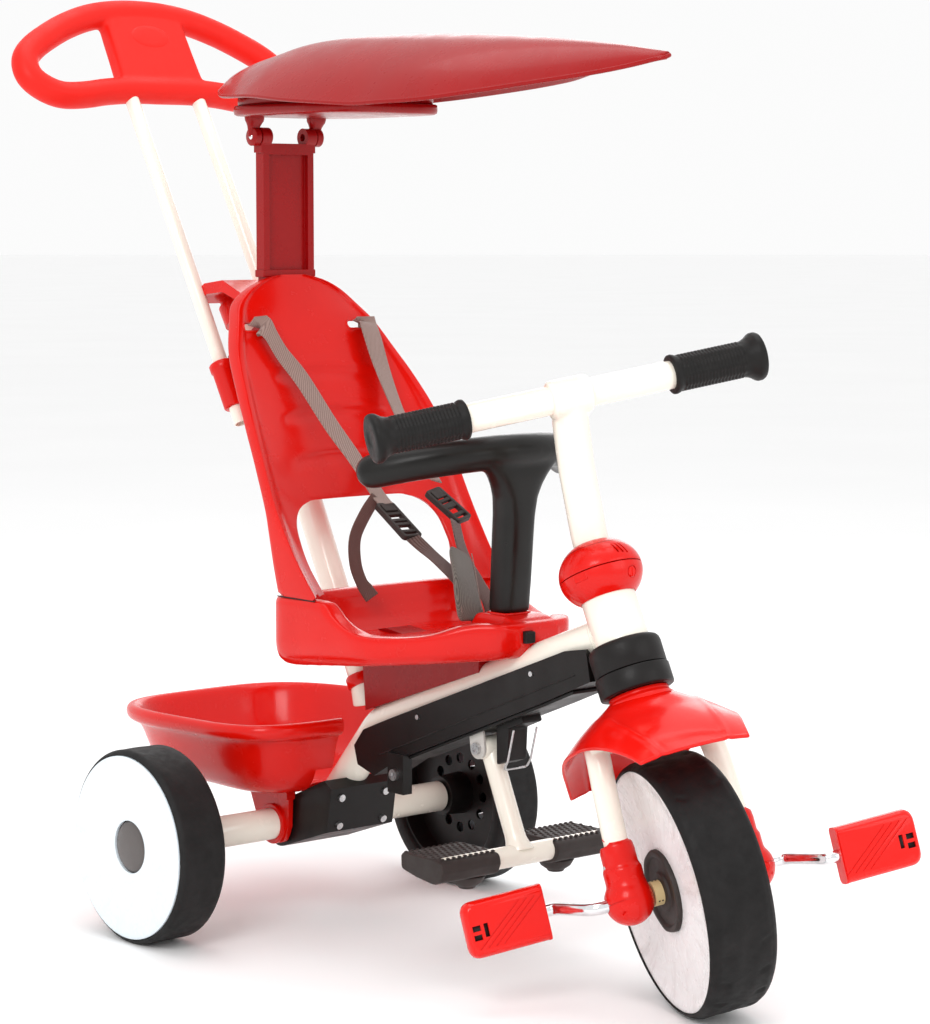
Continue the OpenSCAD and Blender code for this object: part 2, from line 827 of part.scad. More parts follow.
module pedal_left() {
    pedal(1);
}

// ------------------------------------------------------- rear wheels

module rear_tyre(s) {
    color(black) trike() translate([0, 0, rear_r])
        mirror([s < 0 ? 1 : 0, 0, 0]) rotate([0, 90, 0])
            rotate_extrude($fn = 128) difference() {
                soft_rect([84, half_track - 2 - rear_tyre_w],
                    [rear_r - 84, rear_tyre_w], 7);
                translate([80, half_track - 3.9]) square([16.6, 6]);
            }
}

module rear_rim(s) {
    color(black) trike() translate([0, 0, rear_r]) difference() {
        x_turn([[axle_d / 2 + run, half_track - 64], [22, half_track - 64],
            [24, half_track - 34], [78, half_track - 34],
            [80, half_track - 55], [84, half_track - 55],
            [84, half_track - 4.5], [79, half_track - 4.5],
            [79, half_track - 31], [22, half_track - 31],
            [22, half_track - 11], [axle_d / 2 + run, half_track - 11]],
            s, 128);
        for (k = [0 : 11]) rotate([30 * k, 0, 0])
            translate([s * (half_track - 32), 0, 40]) x_cyl(6, 20, 24);
    }
}

module rear_disc(s) {
    color("#f0fbfc") trike() translate([0, 0, rear_r])
        x_turn([[27.6, half_track - 9], [27.6, half_track - 6],
            [90, half_track], [95, half_track], [96.5, half_track - 1],
            [96.5, half_track - 3.8], [86, half_track - 3.8]], s, 128);
}

module hub_cap(s) {
    color(grey) trike() translate([0, 0, rear_r])
        x_turn([[0, half_track - 11], [27.5, half_track - 11],
            [27.5, half_track - 7.5], [22, half_track - 6.2],
            [12, half_track - 5.4], [0, half_track - 5]], s, 96);
}

module rear_tyre_right() {
    rear_tyre(-1);
}

module rear_rim_right() {
    rear_rim(-1);
}

module rear_disc_right() {
    rear_disc(-1);
}

module hub_cap_right() {
    hub_cap(-1);
}

module rear_tyre_left() {
    rear_tyre(1);
}

module rear_rim_left() {
    rear_rim(1);
}

module rear_disc_left() {
    rear_disc(1);
}

module hub_cap_left() {
    hub_cap(1);
}

// ---------------------------------------------------------------- canopy

canopy_w = [[-549, 4], [-520, 17], [-475, 38], [-430, 58], [-390, 76],
    [-350, 92], [-310, 104], [-265, 111], [-215, 115], [-160, 117],
    [-100, 116], [-40, 110], [20, 98], [70, 82], [110, 63], [140, 42],
    [158, 20]];
canopy_z = [[-549, 912], [-480, 922], [-400, 932], [-300, 940],
    [-200, 944], [-100, 945], [0, 942], [80, 934], [130, 924], [158, 914]];
canopy_d = [[-549, 2], [-450, 14], [-364, 28], [-300, 40], [-200, 52],
    [-80, 60], [0, 68], [55, 70], [100, 50], [130, 26], [158, 8]];
canopy_s = [-1, -0.9, -0.75, -0.5, -0.25, 0, 0.25, 0.5, 0.75, 0.9, 1];
function canopy_p(y, s, g) = [s * (look(y, canopy_w) - g * abs(s)), y,
    look(y, canopy_z) - g - look(y, canopy_d) * pow(abs(s), 2.2)];

module canopy_shell() {
    top = [for (k = canopy_w) [for (s = canopy_s) canopy_p(k[0], s, 0)]];
    low = [for (k = canopy_w) [for (s = canopy_s) canopy_p(k[0], s, 5)]];
    color(dark_red) trike() slab(top, low);
}

// shallow tray under the shell with a rib up to it
module canopy_frame() {
    color(dark_red) trike() union() {
        translate([0, 0, 866]) difference() {
            linear_extrude(height = 10)
                soft_rect([-84, -270], [168, 325], 45);
            translate([0, 0, 4]) linear_extrude(height = 10)
                soft_rect([-78, -264], [156, 313], 40);
        }
        yz_plate(concat([for (y = [-265, -215, -160, -100, -40, 20])
            [y, look(y, canopy_z) - 5.5]], [[20, 868], [-265, 868]]), 8);
    }
}

module canopy_arms() {
    color(dark_red) trike() for (s = [-1, 1]) difference() {
        union() {
            translate([s * 41.8, hinge_y, hinge_z]) x_cyl(10, 9);
            translate([s * 41.8, 0, 0]) yz_plate([[hinge_y - 8, hinge_z],
                [hinge_y + 8, hinge_z], [hinge_y + 12, 866],
                [hinge_y - 14, 866]], 9);
            translate([s * 38, hinge_y, hinge_z]) x_cyl(4 - run, 24, 32);
        }
    }
}

// ---------------------------------------------------------------- push handle

module push_tubes() {
    color(cream) trike() for (s = [-1, 1])
        translate(push_top) translate([s * push_gap / 2, 0, 0]) difference() {
            rod(-424 * pu, 60 * pu, push_tube_d / 2);
            rod(-430 * pu, 66 * pu, push_tube_d / 2 - 1.5);
        }
}

// in the plane of the tubes: x across, y along them from the tube tops
ring_side = [[0, 104], [35, 102], [70, 95], [104, 82], [134, 66], [158, 50],
    [172, 34], [172, 16], [160, 0], [138, -9], [108, -8], [76, -3], [40, 0],
    [0, 0]];
ring_pts = concat([for (p = ring_side) [p[0] * ring_hw / 174, p[1]]],
    [for (i = [len(ring_side) - 2 : -1 : 1])
        [-ring_side[i][0] * ring_hw / 174, ring_side[i][1]]]);
ring_n = len(ring_pts);
function ring_at(i, m = 14) = let (
        p = ring_pts[i],
        a = ring_pts[(i + ring_n - 1) % ring_n],
        b = ring_pts[(i + 1) % ring_n],
        t = (b - a) / norm(b - a), w = [-t[1], t[0]])
    [for (j = [0 : m - 1]) let (c = 360 * j / m,
        q = p + w * ring_d / 2 * cos(c))
        [q[0], q[1] * pu[1] + ring_d / 2 * sin(c) * pu[2],
            q[1] * pu[2] - ring_d / 2 * sin(c) * pu[1]]];

module push_grip() {
    color("#ff3a22") trike() translate(push_top) difference() {
        union() {
            loop_skin([for (i = [0 : ring_n - 1]) ring_at(i)]);
            rotate([-push_lean, 0, 0]) translate([-56, -12, -12])
                cube([112, 24, 110]);
        }
        for (s = [-1, 1])
            translate([s * push_gap / 2, 0, 0])
                rod(-40 * pu, 60 * pu, push_tube_d / 2);
    }
}

// ---------------------------------------------------------------- guard

guard_pts = [[-127, -266, 508], [-112, -288, 512], [-90, -309, 517],
    [-64, -326, 522], [-34, -338, 526], [0, -342, 527]];

module guard() {
    color(black) trike() union() {
        translate([0, -342, 527]) rotate([-14, 0, 0])
            translate([0, 142, 0]) rotate([0, 0, 270 - 63])
                rotate_extrude(angle = 126, $fn = 96)
                    translate([142, 0]) circle(r = 17.5, $fn = 40);
        for (s = [-1, 1])
            translate([0, -342, 527]) rotate([-14, 0, 0])
                translate([s * 142 * sin(63), 142 * (1 - cos(63)), 0])
                    sphere(r = 17.7, $fn = 40);
        intersection() {
            rotate([90, 0, 0]) translate([0, 0, 250])
                linear_extrude(height = 150)
                    polygon([[-19, 363.3], [19, 363.3], [19, 462],
                        [23, 482], [33, 500], [48, 513], [58, 520],
                        [-58, 520], [-48, 513], [-33, 500], [-23, 482],
                        [-19, 462]]);
            yz_plate([[-344, 363.3], [-310, 363.3], [-314, 440],
                [-326, 520], [-354, 520], [-352, 470]], 200);
        }
        translate([-13, -337, 326]) cube([26, 20, 40]);
    }
}

module release_button() {
    color(black) trike()
        translate([-15, -373, 344]) cube([12, 10, 12], center = true);
}

// ---------------------------------------------------------------- harness

// flat strap through points, thin along Y and wide along X
function strap_ring(p, w, t) = [p + [-w / 2, -t, 0], p + [w / 2, -t, 0],
    p + [w / 2, 0, 0], p + [-w / 2, 0, 0]];

near_pts = [[-69, -8, 641], [-56, -24, 614], [-42, -40, 586],
    [-30, -74, 540], [-22, -104, 506], [-20, -140, 464]];
far_pts = [[72, -8, 641], [69, -40, 593], [60, -80, 547], [55, -120, 511],
    [46, -160, 479]];

module harness_shoulder() {
    color(grey) trike() {
        skin([for (p = near_pts) strap_ring(p, 19, 1.6)]);
        skin([for (p = far_pts) strap_ring(p, 19, 1.6)]);
    }
}

waist_near = [[-16, -204, 424], [-11, -238, 405], [-10, -264, 387],
    [-9, -284, 366], [-9, -292, 344]];
waist_far = [[28, -214, 437], [16, -236, 413], [12, -262, 391],
    [11, -284, 368], [11, -292, 344]];

module harness_waist() {
    color(grey) trike() {
        skin([for (p = waist_near) strap_ring(p, 19, 1.6)]);
        skin([for (p = waist_far) strap_ring(p, 19, 1.6)]);
    }
}

module harness_buckles() {
    color(black) trike() {
        translate([-18, -172.8, 444]) rotate([32, 0, 0])
            cube([24, 60, 7], center = true);
        translate([37, -187.8, 458]) rotate([38, 0, 0])
            rotate([0, 0, 16]) cube([24, 52, 7], center = true);
    }
}

main_tube();
head_tube();
headset_cup();
seat_column();
channel_cover();
frame_screws();
axle_clamp();
axle_tube();
axle_rod();
axle_bushes();
basket();
basket_brackets();
seat_fin();
seat_pan();
guard_socket();
backrest();
back_bracket();
handle_sleeves();
handle_brace();
canopy_post();
footrest_ears();
footrest_pin();
footrest_block();
fork();
headset_ring();
fender();
shell_lower();
shell_upper();
stem();
handlebar();
grips();
fork_covers();
front_tyre();
front_discs();
front_hub();
clutch_sleeves();
crankshaft();
pedal_right();
pedal_left();
rear_tyre_right();
rear_rim_right();
rear_disc_right();
hub_cap_right();
rear_tyre_left();
rear_rim_left();
rear_disc_left();
hub_cap_left();
footrest_bar();
foot_pads();
canopy_shell();
canopy_frame();
canopy_arms();
push_tubes();
push_grip();
guard();
release_button();
harness_shoulder();
harness_waist();
harness_buckles();
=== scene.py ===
import bpy, bmesh, json, math
from math import sin, cos, pi, radians, hypot
from mathutils import Vector, Matrix

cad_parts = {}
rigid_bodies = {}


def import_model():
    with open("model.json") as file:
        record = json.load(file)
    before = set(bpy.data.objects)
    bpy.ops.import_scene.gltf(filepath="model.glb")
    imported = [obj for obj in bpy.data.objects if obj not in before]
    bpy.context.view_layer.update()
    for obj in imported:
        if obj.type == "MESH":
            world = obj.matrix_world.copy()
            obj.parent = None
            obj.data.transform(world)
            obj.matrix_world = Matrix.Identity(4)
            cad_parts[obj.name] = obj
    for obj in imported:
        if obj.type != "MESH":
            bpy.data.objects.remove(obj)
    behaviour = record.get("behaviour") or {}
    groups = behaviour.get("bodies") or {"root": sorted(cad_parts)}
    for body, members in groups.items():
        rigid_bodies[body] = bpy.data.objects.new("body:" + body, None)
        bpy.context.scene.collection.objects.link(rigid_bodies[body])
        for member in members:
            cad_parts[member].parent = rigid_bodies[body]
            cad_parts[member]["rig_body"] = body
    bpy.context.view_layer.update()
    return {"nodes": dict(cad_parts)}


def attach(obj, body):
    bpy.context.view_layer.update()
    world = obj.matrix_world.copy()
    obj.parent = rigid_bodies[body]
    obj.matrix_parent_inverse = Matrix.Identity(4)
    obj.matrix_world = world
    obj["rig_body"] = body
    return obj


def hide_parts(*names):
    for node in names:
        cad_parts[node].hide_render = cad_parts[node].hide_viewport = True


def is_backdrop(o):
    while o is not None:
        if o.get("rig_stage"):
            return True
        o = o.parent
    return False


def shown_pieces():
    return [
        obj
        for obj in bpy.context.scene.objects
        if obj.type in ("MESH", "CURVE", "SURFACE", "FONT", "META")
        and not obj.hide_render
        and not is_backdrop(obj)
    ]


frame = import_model()

V = Vector


def at(*p):
    return Matrix.Translation(p)


def spin(deg, axis):
    return Matrix.Rotation(radians(deg), 4, axis)


# where the moving groups stand, in metres and degrees
AXLE_BACK, AXLE_HEIGHT = 0.1918, 0.1025
AXIS_FORWARD, AXIS_HEIGHT, RAKE = 0.5968, 0.13613, -25.9
STEER_REST, TRAIL = -24.55, 0.0226
# TR has the rear axle at Y = 0, HEAD and ST lean with the steering, HUB and RWR centre on the wheels
TR = at(0, AXLE_BACK, 0)
HEAD = at(0, AXLE_BACK - AXIS_FORWARD, AXIS_HEIGHT) @ spin(RAKE, "X")
ST = HEAD @ spin(STEER_REST, "Z")
HUB = ST @ at(0, TRAIL, 0)
RWR = TR @ at(0, 0, AXLE_HEIGHT)
PUSH = TR @ at(0, 0.275, 0.902) @ spin(-30, "X")
# what a piece is drawn in and what it rides
FRAME, NECK, STEER, WHEEL = (TR, "frame"), (HEAD, "frame"), (ST, "steering"), (HUB, "front_wheel")
CANOPY, HANDLE, FOOTREST = (TR, "canopy"), (PUSH, "push_handle"), (TR, "footrest")
# places that come back, in millimetres of their own space
HUB_Y = 22.6
BAR = at(0, -67, 471)
PUSH_X = 46
SLOT_X, SLOT_Z = 70, 642
KNUCKLE = (41.8, 42, 845)
CRANK_THROW, CRANK_LEAN = 58, 17
FRONT_R, REAR_R = 125, 102.5
TUB_MID, PAN_MID, TRAY_MID = 40, -225, -45
WINDOW_FOOT, WINDOW_TOP, BACK_TOP, WINDOW_ROWS = 369.4, 461.5, 697, 26
FENDER_R = 169
PEDAL_X, PEDAL_LEAN = 171, 13


# ---------------- shape helpers
def smooth_look(x, tab):
    """Look-up on a smooth curve through the knots."""
    n = len(tab)
    if x <= tab[0][0]:
        return tab[0][1]
    if x >= tab[-1][0]:
        return tab[-1][1]
    i = next(k for k in range(n - 1) if x <= tab[k + 1][0])
    def slope(k):
        if k == 0 or k == n - 1:
            j = min(max(k, 1), n - 1)
            return (tab[j][1] - tab[j - 1][1]) / (tab[j][0] - tab[j - 1][0])
        return (tab[k + 1][1] - tab[k - 1][1]) / (tab[k + 1][0] - tab[k - 1][0])
    h = tab[i + 1][0] - tab[i][0]
    t = (x - tab[i][0]) / h
    a, b = tab[i][1], tab[i + 1][1]
    return (a * (2 * t**3 - 3 * t * t + 1) + b * (3 * t * t - 2 * t**3)
        + slope(i) * h * (t**3 - 2 * t * t + t) + slope(i + 1) * h * (t**3 - t * t))


def curve(pts, k=6, closed=False):
    """Catmull-Rom through points of any width, k steps a span."""
    pts = [tuple(p) for p in pts]
    n = len(pts)
    out = []
    for i in range(n if closed else n - 1):
        if closed:
            q = [pts[(i + j) % n] for j in (-1, 0, 1, 2)]
        else:
            q = [pts[min(max(i + j, 0), n - 1)] for j in (-1, 0, 1, 2)]
        for s in range(k):
            t = s / k
            out.append(tuple(0.5 * (2 * b + (c - a) * t + (2 * a - 5 * b + 4 * c - d) * t * t
                + (3 * b - a - 3 * c + d) * t**3) for a, b, c, d in zip(*q)))
    if not closed:
        out.append(pts[-1])
    return out


def fillet(poly, r, k=4, closed=True):
    """Rounds the corners of a 2D outline; r is one radius or one for each corner."""
    n = len(poly)
    out = []
    for i, p in enumerate(poly):
        ri = r[i] if isinstance(r, (list, tuple)) else r
        if ri <= 0 or (not closed and i in (0, n - 1)):
            out.append(tuple(p))
            continue
        p, a, b = V(p), V(poly[i - 1]), V(poly[(i + 1) % n])
        u, w = (a - p), (b - p)
        lu, lw = u.length, w.length
        u.normalize()
        w.normalize()
        ang = u.angle(w, 0)
        if ang > pi - 0.05 or ang < 0.05:
            out.append(tuple(p))
            continue
        d = min(ri / math.tan(ang / 2), 0.48 * lu, 0.48 * lw)
        s, e = p + u * d, p + w * d
        for j in range(k + 1):
            t = j / k
            out.append(tuple(s * (1 - t) ** 2 + p * 2 * t * (1 - t) + e * t * t))
    return out


def join(*parts):
    vs, fs = [], []
    for v, f in parts:
        o = len(vs)
        vs += [tuple(p) for p in v]
        fs += [tuple(i + o for i in q) for q in f]
    return vs, fs


def moved(part, m):
    v, f = part
    flip = m.to_3x3().determinant() < 0
    return [tuple(m @ V(p)) for p in v], [tuple(reversed(q)) if flip else q for q in f]


def mirror_x(part):
    return moved(part, Matrix.Diagonal((-1, 1, 1, 1)))


def both(part):
    return join(part, mirror_x(part))


def mirrored(half):
    """Outline from the half with X above 0, whose two ends lie on X = 0."""
    return half + [(-x, y) for x, y in reversed(half[1:-1])]


def loft(rings, cap=True, wrap=True):
    """Skin through rings of equal length, as (vertices, faces)."""
    m = len(rings[0])
    v = [tuple(p) for r in rings for p in r]
    f = []
    for i in range(len(rings) - 1):
        for j in range(m if wrap else m - 1):
            a, b = i * m + j, i * m + (j + 1) % m
            f.append((a, b, b + m, a + m))
    if cap:
        f.append(tuple(reversed(range(m))))
        f.append(tuple(range((len(rings) - 1) * m, len(rings) * m)))
    return v, f


def loop_loft(rings):
    v, f = loft(rings, cap=False)
    m, n = len(rings[0]), len(rings)
    for j in range(m):
        a, b = (n - 1) * m + j, (n - 1) * m + (j + 1) % m
        f.append((a, b, (j + 1) % m, j))
    return v, f


def section(w, h, e=2.0, n=24):
    """Super-ellipse, half width w and half height h."""
    out = []
    for j in range(n):
        a = 2 * pi * j / n
        c, s = cos(a), sin(a)
        out.append((w * math.copysign(abs(c) ** (2 / e), c), h * math.copysign(abs(s) ** (2 / e), s)))
    return out


def sweep(path, r, n=24, ends=0, up=None, closed=False, e=2.0):
    """Tube along a path. r is a radius, a list, or a list of (half width, half height)."""
    pts = [V(p[:3]) for p in path]
    k = len(pts)
    rr = [r[i] if isinstance(r, list) else r for i in range(k)]
    tan = []
    for i in range(k):
        a = pts[i - 1] if (i or closed) else pts[0]
        b = pts[(i + 1) % k] if (i < k - 1 or closed) else pts[-1]
        tan.append((b - a).normalized())
    ref = V(up) if up else (V((0, 0, 1)) if abs(tan[0].z) < 0.9 else V((0, 1, 0)))
    rings = []
    side = tan[0].cross(ref).normalized()
    for i in range(k):
        if up:
            side = tan[i].cross(V(up)).normalized()
        else:
            side = (side - tan[i] * side.dot(tan[i])).normalized()
        top = side.cross(tan[i]).normalized()
        w, h = rr[i] if isinstance(rr[i], tuple) else (rr[i], rr[i])
        rings.append((pts[i], side.copy(), top, w, h, tan[i]))
    def ring(c, s, t, w, h):
        return [c + s * x + t * y for x, y in section(w, h, e, n)]
    out = [ring(c, s, t, w, h) for c, s, t, w, h, _ in rings]
    if closed:
        return loop_loft(out)
    def nose(i, sign, turns):
        c, s, t, w, h, d = rings[i]
        return [ring(c + d * sign * ends * sin(a), s, t, w - min(w, ends) * (1 - cos(a)),
            h - min(h, ends) * (1 - cos(a))) for a in turns]
    if ends:
        out = nose(0, -1, (1.5, 1.2, 0.85, 0.45)) + out + nose(-1, 1, (0.45, 0.85, 1.2, 1.5))
    return loft(out)


def lathe(prof, n=96, ax="X", side=1, closed=False, wob=None):
    """Profile of (radius, along) turned about an axis; wob(angle, r, x) gives a changed (r, x)."""
    rings = []
    for r, x in prof:
        ring = []
        for j in range(n):
            a = 2 * pi * j / n
            q, y = wob(a, r, x) if wob else (r, x)
            if ax == "X":
                ring.append((side * y, q * cos(a), q * sin(a)))
            else:
                ring.append((q * cos(a), q * sin(a), y))
        rings.append(ring)
    return loop_loft(rings) if closed else loft(rings, cap=False)


def prism(poly, w, x=0, plane="YZ"):
    """Outline in a plane, extruded w about x."""
    n = len(poly)
    def pt(p, t):
        return {"YZ": (t, p[0], p[1]), "XY": (p[0], p[1], t), "XZ": (p[0], t, p[1])}[plane]
    v = [pt(p, x - w / 2) for p in poly] + [pt(p, x + w / 2) for p in poly]
    f = [tuple(range(n)), tuple(reversed(range(n, 2 * n)))]
    f += [(j, j + n, (j + 1) % n + n, (j + 1) % n) for j in range(n)]
    return v, f


def block(c, s):
    """Box of size s about its centre c."""
    x, y, z = (t / 2 for t in s)
    v = [tuple(V((a, b, d)) + V(c)) for a in (-x, x) for b in (-y, y) for d in (-z, z)]
    return v, [(0, 1, 3, 2), (4, 6, 7, 5), (0, 4, 5, 1), (2, 3, 7, 6), (0, 2, 6, 4), (1, 5, 7, 3)]


def rod(p, q, r, n=24):
    return sweep([p, q], r, n)


def rect(w, h, r, k=4):
    """Rectangle of half width w and half height h with rounded corners."""
    return fillet([(-w, -h), (w, -h), (w, h), (-w, h)], r, k)


# ---------------- object helpers
def link(o):
    bpy.context.scene.collection.objects.link(o)
    return o


def mesh_of(name, part):
    """Mesh in metres from a part in millimetres."""
    v, f = part
    me = bpy.data.meshes.new(name)
    me.from_pydata([tuple(c / 1000 for c in p) for p in v], [], f)
    return me


def shade(o, angle):
    """Smooth faces, with the edges above an angle kept sharp."""
    for p in o.data.polygons:
        p.use_smooth = True
    o.data.set_sharp_from_angle(angle=radians(angle))


def clean(me):
    bm = bmesh.new()
    bm.from_mesh(me)
    bmesh.ops.remove_doubles(bm, verts=bm.verts, dist=1e-6)
    bmesh.ops.recalc_face_normals(bm, faces=bm.faces)
    bm.to_mesh(me)
    bm.free()


def finish_piece(o, space, body, mat, rep, bevel, sub, sharp):
    me = o.data
    for p in me.polygons:
        p.use_smooth = True
    if sharp:
        me.set_sharp_from_angle(angle=radians(sharp))
    if sub:
        m = o.modifiers.new("sub", "SUBSURF")
        m.levels = m.render_levels = sub
    if bevel:
        m = o.modifiers.new("bevel", "BEVEL")
        m.width, m.segments = bevel / 1000, 3
        m.limit_method, m.angle_limit = "ANGLE", radians(38)
        m.use_clamp_overlap = True
        m = o.modifiers.new("weight", "WEIGHTED_NORMAL")
        m.keep_sharp = False
    o.matrix_world = space
    me.materials.clear()
    me.materials.append(mat)
    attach(o, body)
    if rep:
        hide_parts(*rep)
    return o


def piece(name, part, place, mat, rep=(), bevel=0, sub=0, sharp=0):
    """A new object: place is the space it is drawn in and the body it rides."""
    me = mesh_of(name, part)
    me.validate()
    clean(me)
    o = link(bpy.data.objects.new(name, me))
    return finish_piece(o, *place, mat, rep, bevel, sub, sharp)


def from_cad(node, mat, bevel):
    """A copy of a frame node with its facets joined and its edges rounded."""
    me = frame["nodes"][node].data.copy()
    me.name = node + "_form"
    bm = bmesh.new()
    bm.from_mesh(me)
    bmesh.ops.remove_doubles(bm, verts=bm.verts, dist=2e-5)
    bmesh.ops.dissolve_limit(bm, angle_limit=radians(0.6), verts=bm.verts, edges=bm.edges)
    bm.to_mesh(me)
    bm.free()
    me.transform(TR.inverted())
    o = link(bpy.data.objects.new(me.name, me))
    return finish_piece(o, *FRAME, mat, [node], bevel, 0, 0)


def bake(o):
    """Applies an object's modifiers."""
    dg = bpy.context.evaluated_depsgraph_get()
    me = bpy.data.meshes.new_from_object(o.evaluated_get(dg))
    old = o.data
    o.modifiers.clear()
    o.data = me
    bpy.data.meshes.remove(old)
    return o


def cut(o, cutters, op="DIFFERENCE"):
    """Cuts closed parts, given in the object's own millimetres, out of it."""
    for part in cutters:
        me = mesh_of("cutter", part)
        clean(me)
        c = link(bpy.data.objects.new("cutter", me))
        c.matrix_world = o.matrix_world
        bpy.context.view_layer.update()
        m = o.modifiers.new("cut", "BOOLEAN")
        m.object, m.operation, m.solver = c, op, "EXACT"
        bake(o)
        bpy.data.objects.remove(c)
        bpy.data.meshes.remove(me)
    return o


def melt(o, voxel, smooth, factor=0.5):
    """Joins overlapping shells into one skin and softens the joints between them."""
    m = o.modifiers.new("remesh", "REMESH")
    m.mode, m.voxel_size, m.use_smooth_shade = "VOXEL", voxel / 1000, True
    m = o.modifiers.new("soft", "SMOOTH")
    m.factor, m.iterations = factor, smooth
    bake(o)
    for p in o.data.polygons:
        p.use_smooth = True


def repaint(node, mat):
    me = frame["nodes"][node].data
    me.materials.clear()
    me.materials.append(mat)


# ---------------- materials
def lin(c):
    return tuple(((x / 255) / 12.92 if x / 255 < 0.04045 else ((x / 255 + 0.055) / 1.055) ** 2.4)
        for x in c) + (1,)


class Mat:
    def __init__(self, name):
        self.m = bpy.data.materials.new(name)
        self.m.use_nodes = True
        self.t = self.m.node_tree
        self.b = self.t.nodes["Principled BSDF"]
        self.co = self.t.nodes.new("ShaderNodeTexCoord").outputs["Object"]

    def set(self, **kw):
        for k, v in kw.items():
            self.b.inputs[k.replace("_", " ")].default_value = v
        return self

    def node(self, kind, links=None, **kw):
        n = self.t.nodes.new("ShaderNode" + kind)
        for k, v in kw.items():
            if hasattr(n, k):
                setattr(n, k, v)
            else:
                n.inputs[k.replace("_", " ")].default_value = v
        for k, v in (links or {}).items():
            self.t.links.new(v, n.inputs[k])
        return n

    def noise(self, scale, detail=3, rough=0.5, co=None, dist=0.0):
        return self.node("TexNoise", {"Vector": co or self.co}, Scale=scale, Detail=detail, Roughness=rough,
            Distortion=dist).outputs["Fac"]

    def stretch(self, sx, sy, sz):
        return self.node("Mapping", {"Vector": self.co}, Scale=(sx, sy, sz)).outputs["Vector"]

    def ramp(self, fac, stops):
        n = self.node("ValToRGB", {"Fac": fac})
        e = n.color_ramp.elements
        e[0].position, e[0].color = stops[0]
        e[1].position, e[1].color = stops[-1]
        for p, c in stops[1:-1]:
            x = e.new(p)
            x.color = c
        return n.outputs["Color"]

    def span(self, fac, a, b, lo=0.0, hi=1.0):
        return self.node("MapRange", {"Value": fac}, From_Min=lo, From_Max=hi, To_Min=a,
            To_Max=b).outputs["Result"]

    def color(self, out):
        self.t.links.new(out, self.b.inputs["Base Color"])
        return self

    def rough(self, out):
        self.t.links.new(out, self.b.inputs["Roughness"])
        return self

    def bump(self, height, strength=0.3, dist=0.001, chain=None):
        n = self.node("Bump", {"Height": height}, Strength=strength, Distance=dist)
        if chain:
            self.t.links.new(chain, n.inputs["Normal"])
        self.t.links.new(n.outputs["Normal"], self.b.inputs["Normal"])
        return n.outputs["Normal"]

    def mul(self, a, b, op="MULTIPLY"):
        n = self.node("Math", operation=op)
        for i, x in enumerate((a, b)):
            if isinstance(x, (int, float)):
                n.inputs[i].default_value = x
            else:
                self.t.links.new(x, n.inputs[i])
        return n.outputs[0]


def scaled(c, k):
    return tuple(min(x * k, 1) for x in c[:3]) + (1,)


def plastic(name, rgb, rough=0.25, coat=0.25, var=0.06, grain=0.0, fine=2600, spec=0.5):
    """Moulded plastic: faint flow variation, slightly wavy gloss, optional fine grain."""
    m = Mat(name)
    c = lin(rgb)
    m.set(IOR=1.46, Coat_Weight=coat, Coat_Roughness=0.06, Specular_IOR_Level=spec)
    flow = m.noise(9, 4, 0.55, dist=0.6)
    m.color(m.ramp(flow, [(0.3, scaled(c, 1 - var)), (0.72, scaled(c, 1 + var))]))
    m.rough(m.span(m.noise(38, 5, 0.6), rough * 0.8, rough * 1.25, 0.3, 0.7))
    wave = m.bump(m.noise(26, 2, 0.4), 0.06, 0.0012)
    if grain:
        m.bump(m.noise(fine, 2, 0.5), grain, 0.0003, wave)
    return m.m


def paint(name, rgb, rough=0.22):
    """Powder coat: orange peel, small tone drift, tiny specks."""
    m = Mat(name)
    c = lin(rgb)
    m.set(IOR=1.5, Coat_Weight=0.5, Coat_Roughness=0.08)
    m.color(m.ramp(m.noise(14, 4, 0.5), [(0.3, scaled(c, 0.95)), (0.7, scaled(c, 1.02))]))
    m.rough(m.span(m.noise(60, 4, 0.6), rough * 0.8, rough * 1.3, 0.3, 0.7))
    m.bump(m.noise(420, 3, 0.5), 0.10, 0.0003)
    return m.m


RED = plastic("red_moulded", (214, 14, 4), 0.24, 0.10, 0.05, spec=0.3)
RED2 = plastic("red_fender", (224, 16, 6), 0.2, 0.14, 0.04, spec=0.3)
DEEP = plastic("deep_red_moulded", (150, 8, 10), 0.28, 0.08, 0.06, spec=0.25)
SOFT = plastic("soft_red_grip", (228, 26, 14), 0.46, 0.0, 0.05, 0.25, 1900, spec=0.3)
BLACK = plastic("black_moulded", (20, 17, 16), 0.42, 0.03, 0.10, 0.18, 2200, spec=0.28)
GUARD = plastic("guard_black", (20, 18, 16), 0.34, 0.05, 0.10, 0.08, 1500, spec=0.3)
PAD = plastic("pad_dark", (45, 36, 33), 0.6, 0.0, 0.12, 0.3, 1500)
BEIGE = plastic("beige_nylon", (214, 190, 140), 0.4, 0.0, 0.06, 0.1)
GREY = plastic("hub_cap_grey", (84, 78, 76), 0.36, 0.1, 0.08, 0.12)
CREAM = paint("cream_paint", (246, 240, 226))
WHITE_IN = paint("light_grey_steel", (196, 192, 186), 0.3)
# near-black: the real dark seam lines, small dots and caps, and also painted shade on the floors of the ball
# vents and pedal recesses
DARK = plastic("slot_dark", (16, 13, 12), 0.6, 0.0, 0.1, 0.1)


def make_chrome():
    m = Mat("chrome_rod")
    m.set(Metallic=1.0)
    m.color(m.ramp(m.noise(120, 3), [(0.35, (0.72, 0.73, 0.75, 1)), (0.65, (0.86, 0.86, 0.87, 1))]))
    m.rough(m.span(m.noise(900, 5, 0.7, m.stretch(1, 0.08, 1)), 0.08, 0.2, 0.3, 0.7))
    m.bump(m.noise(700, 4, 0.6, m.stretch(0.1, 1, 1)), 0.05, 0.0002)
    return m.m


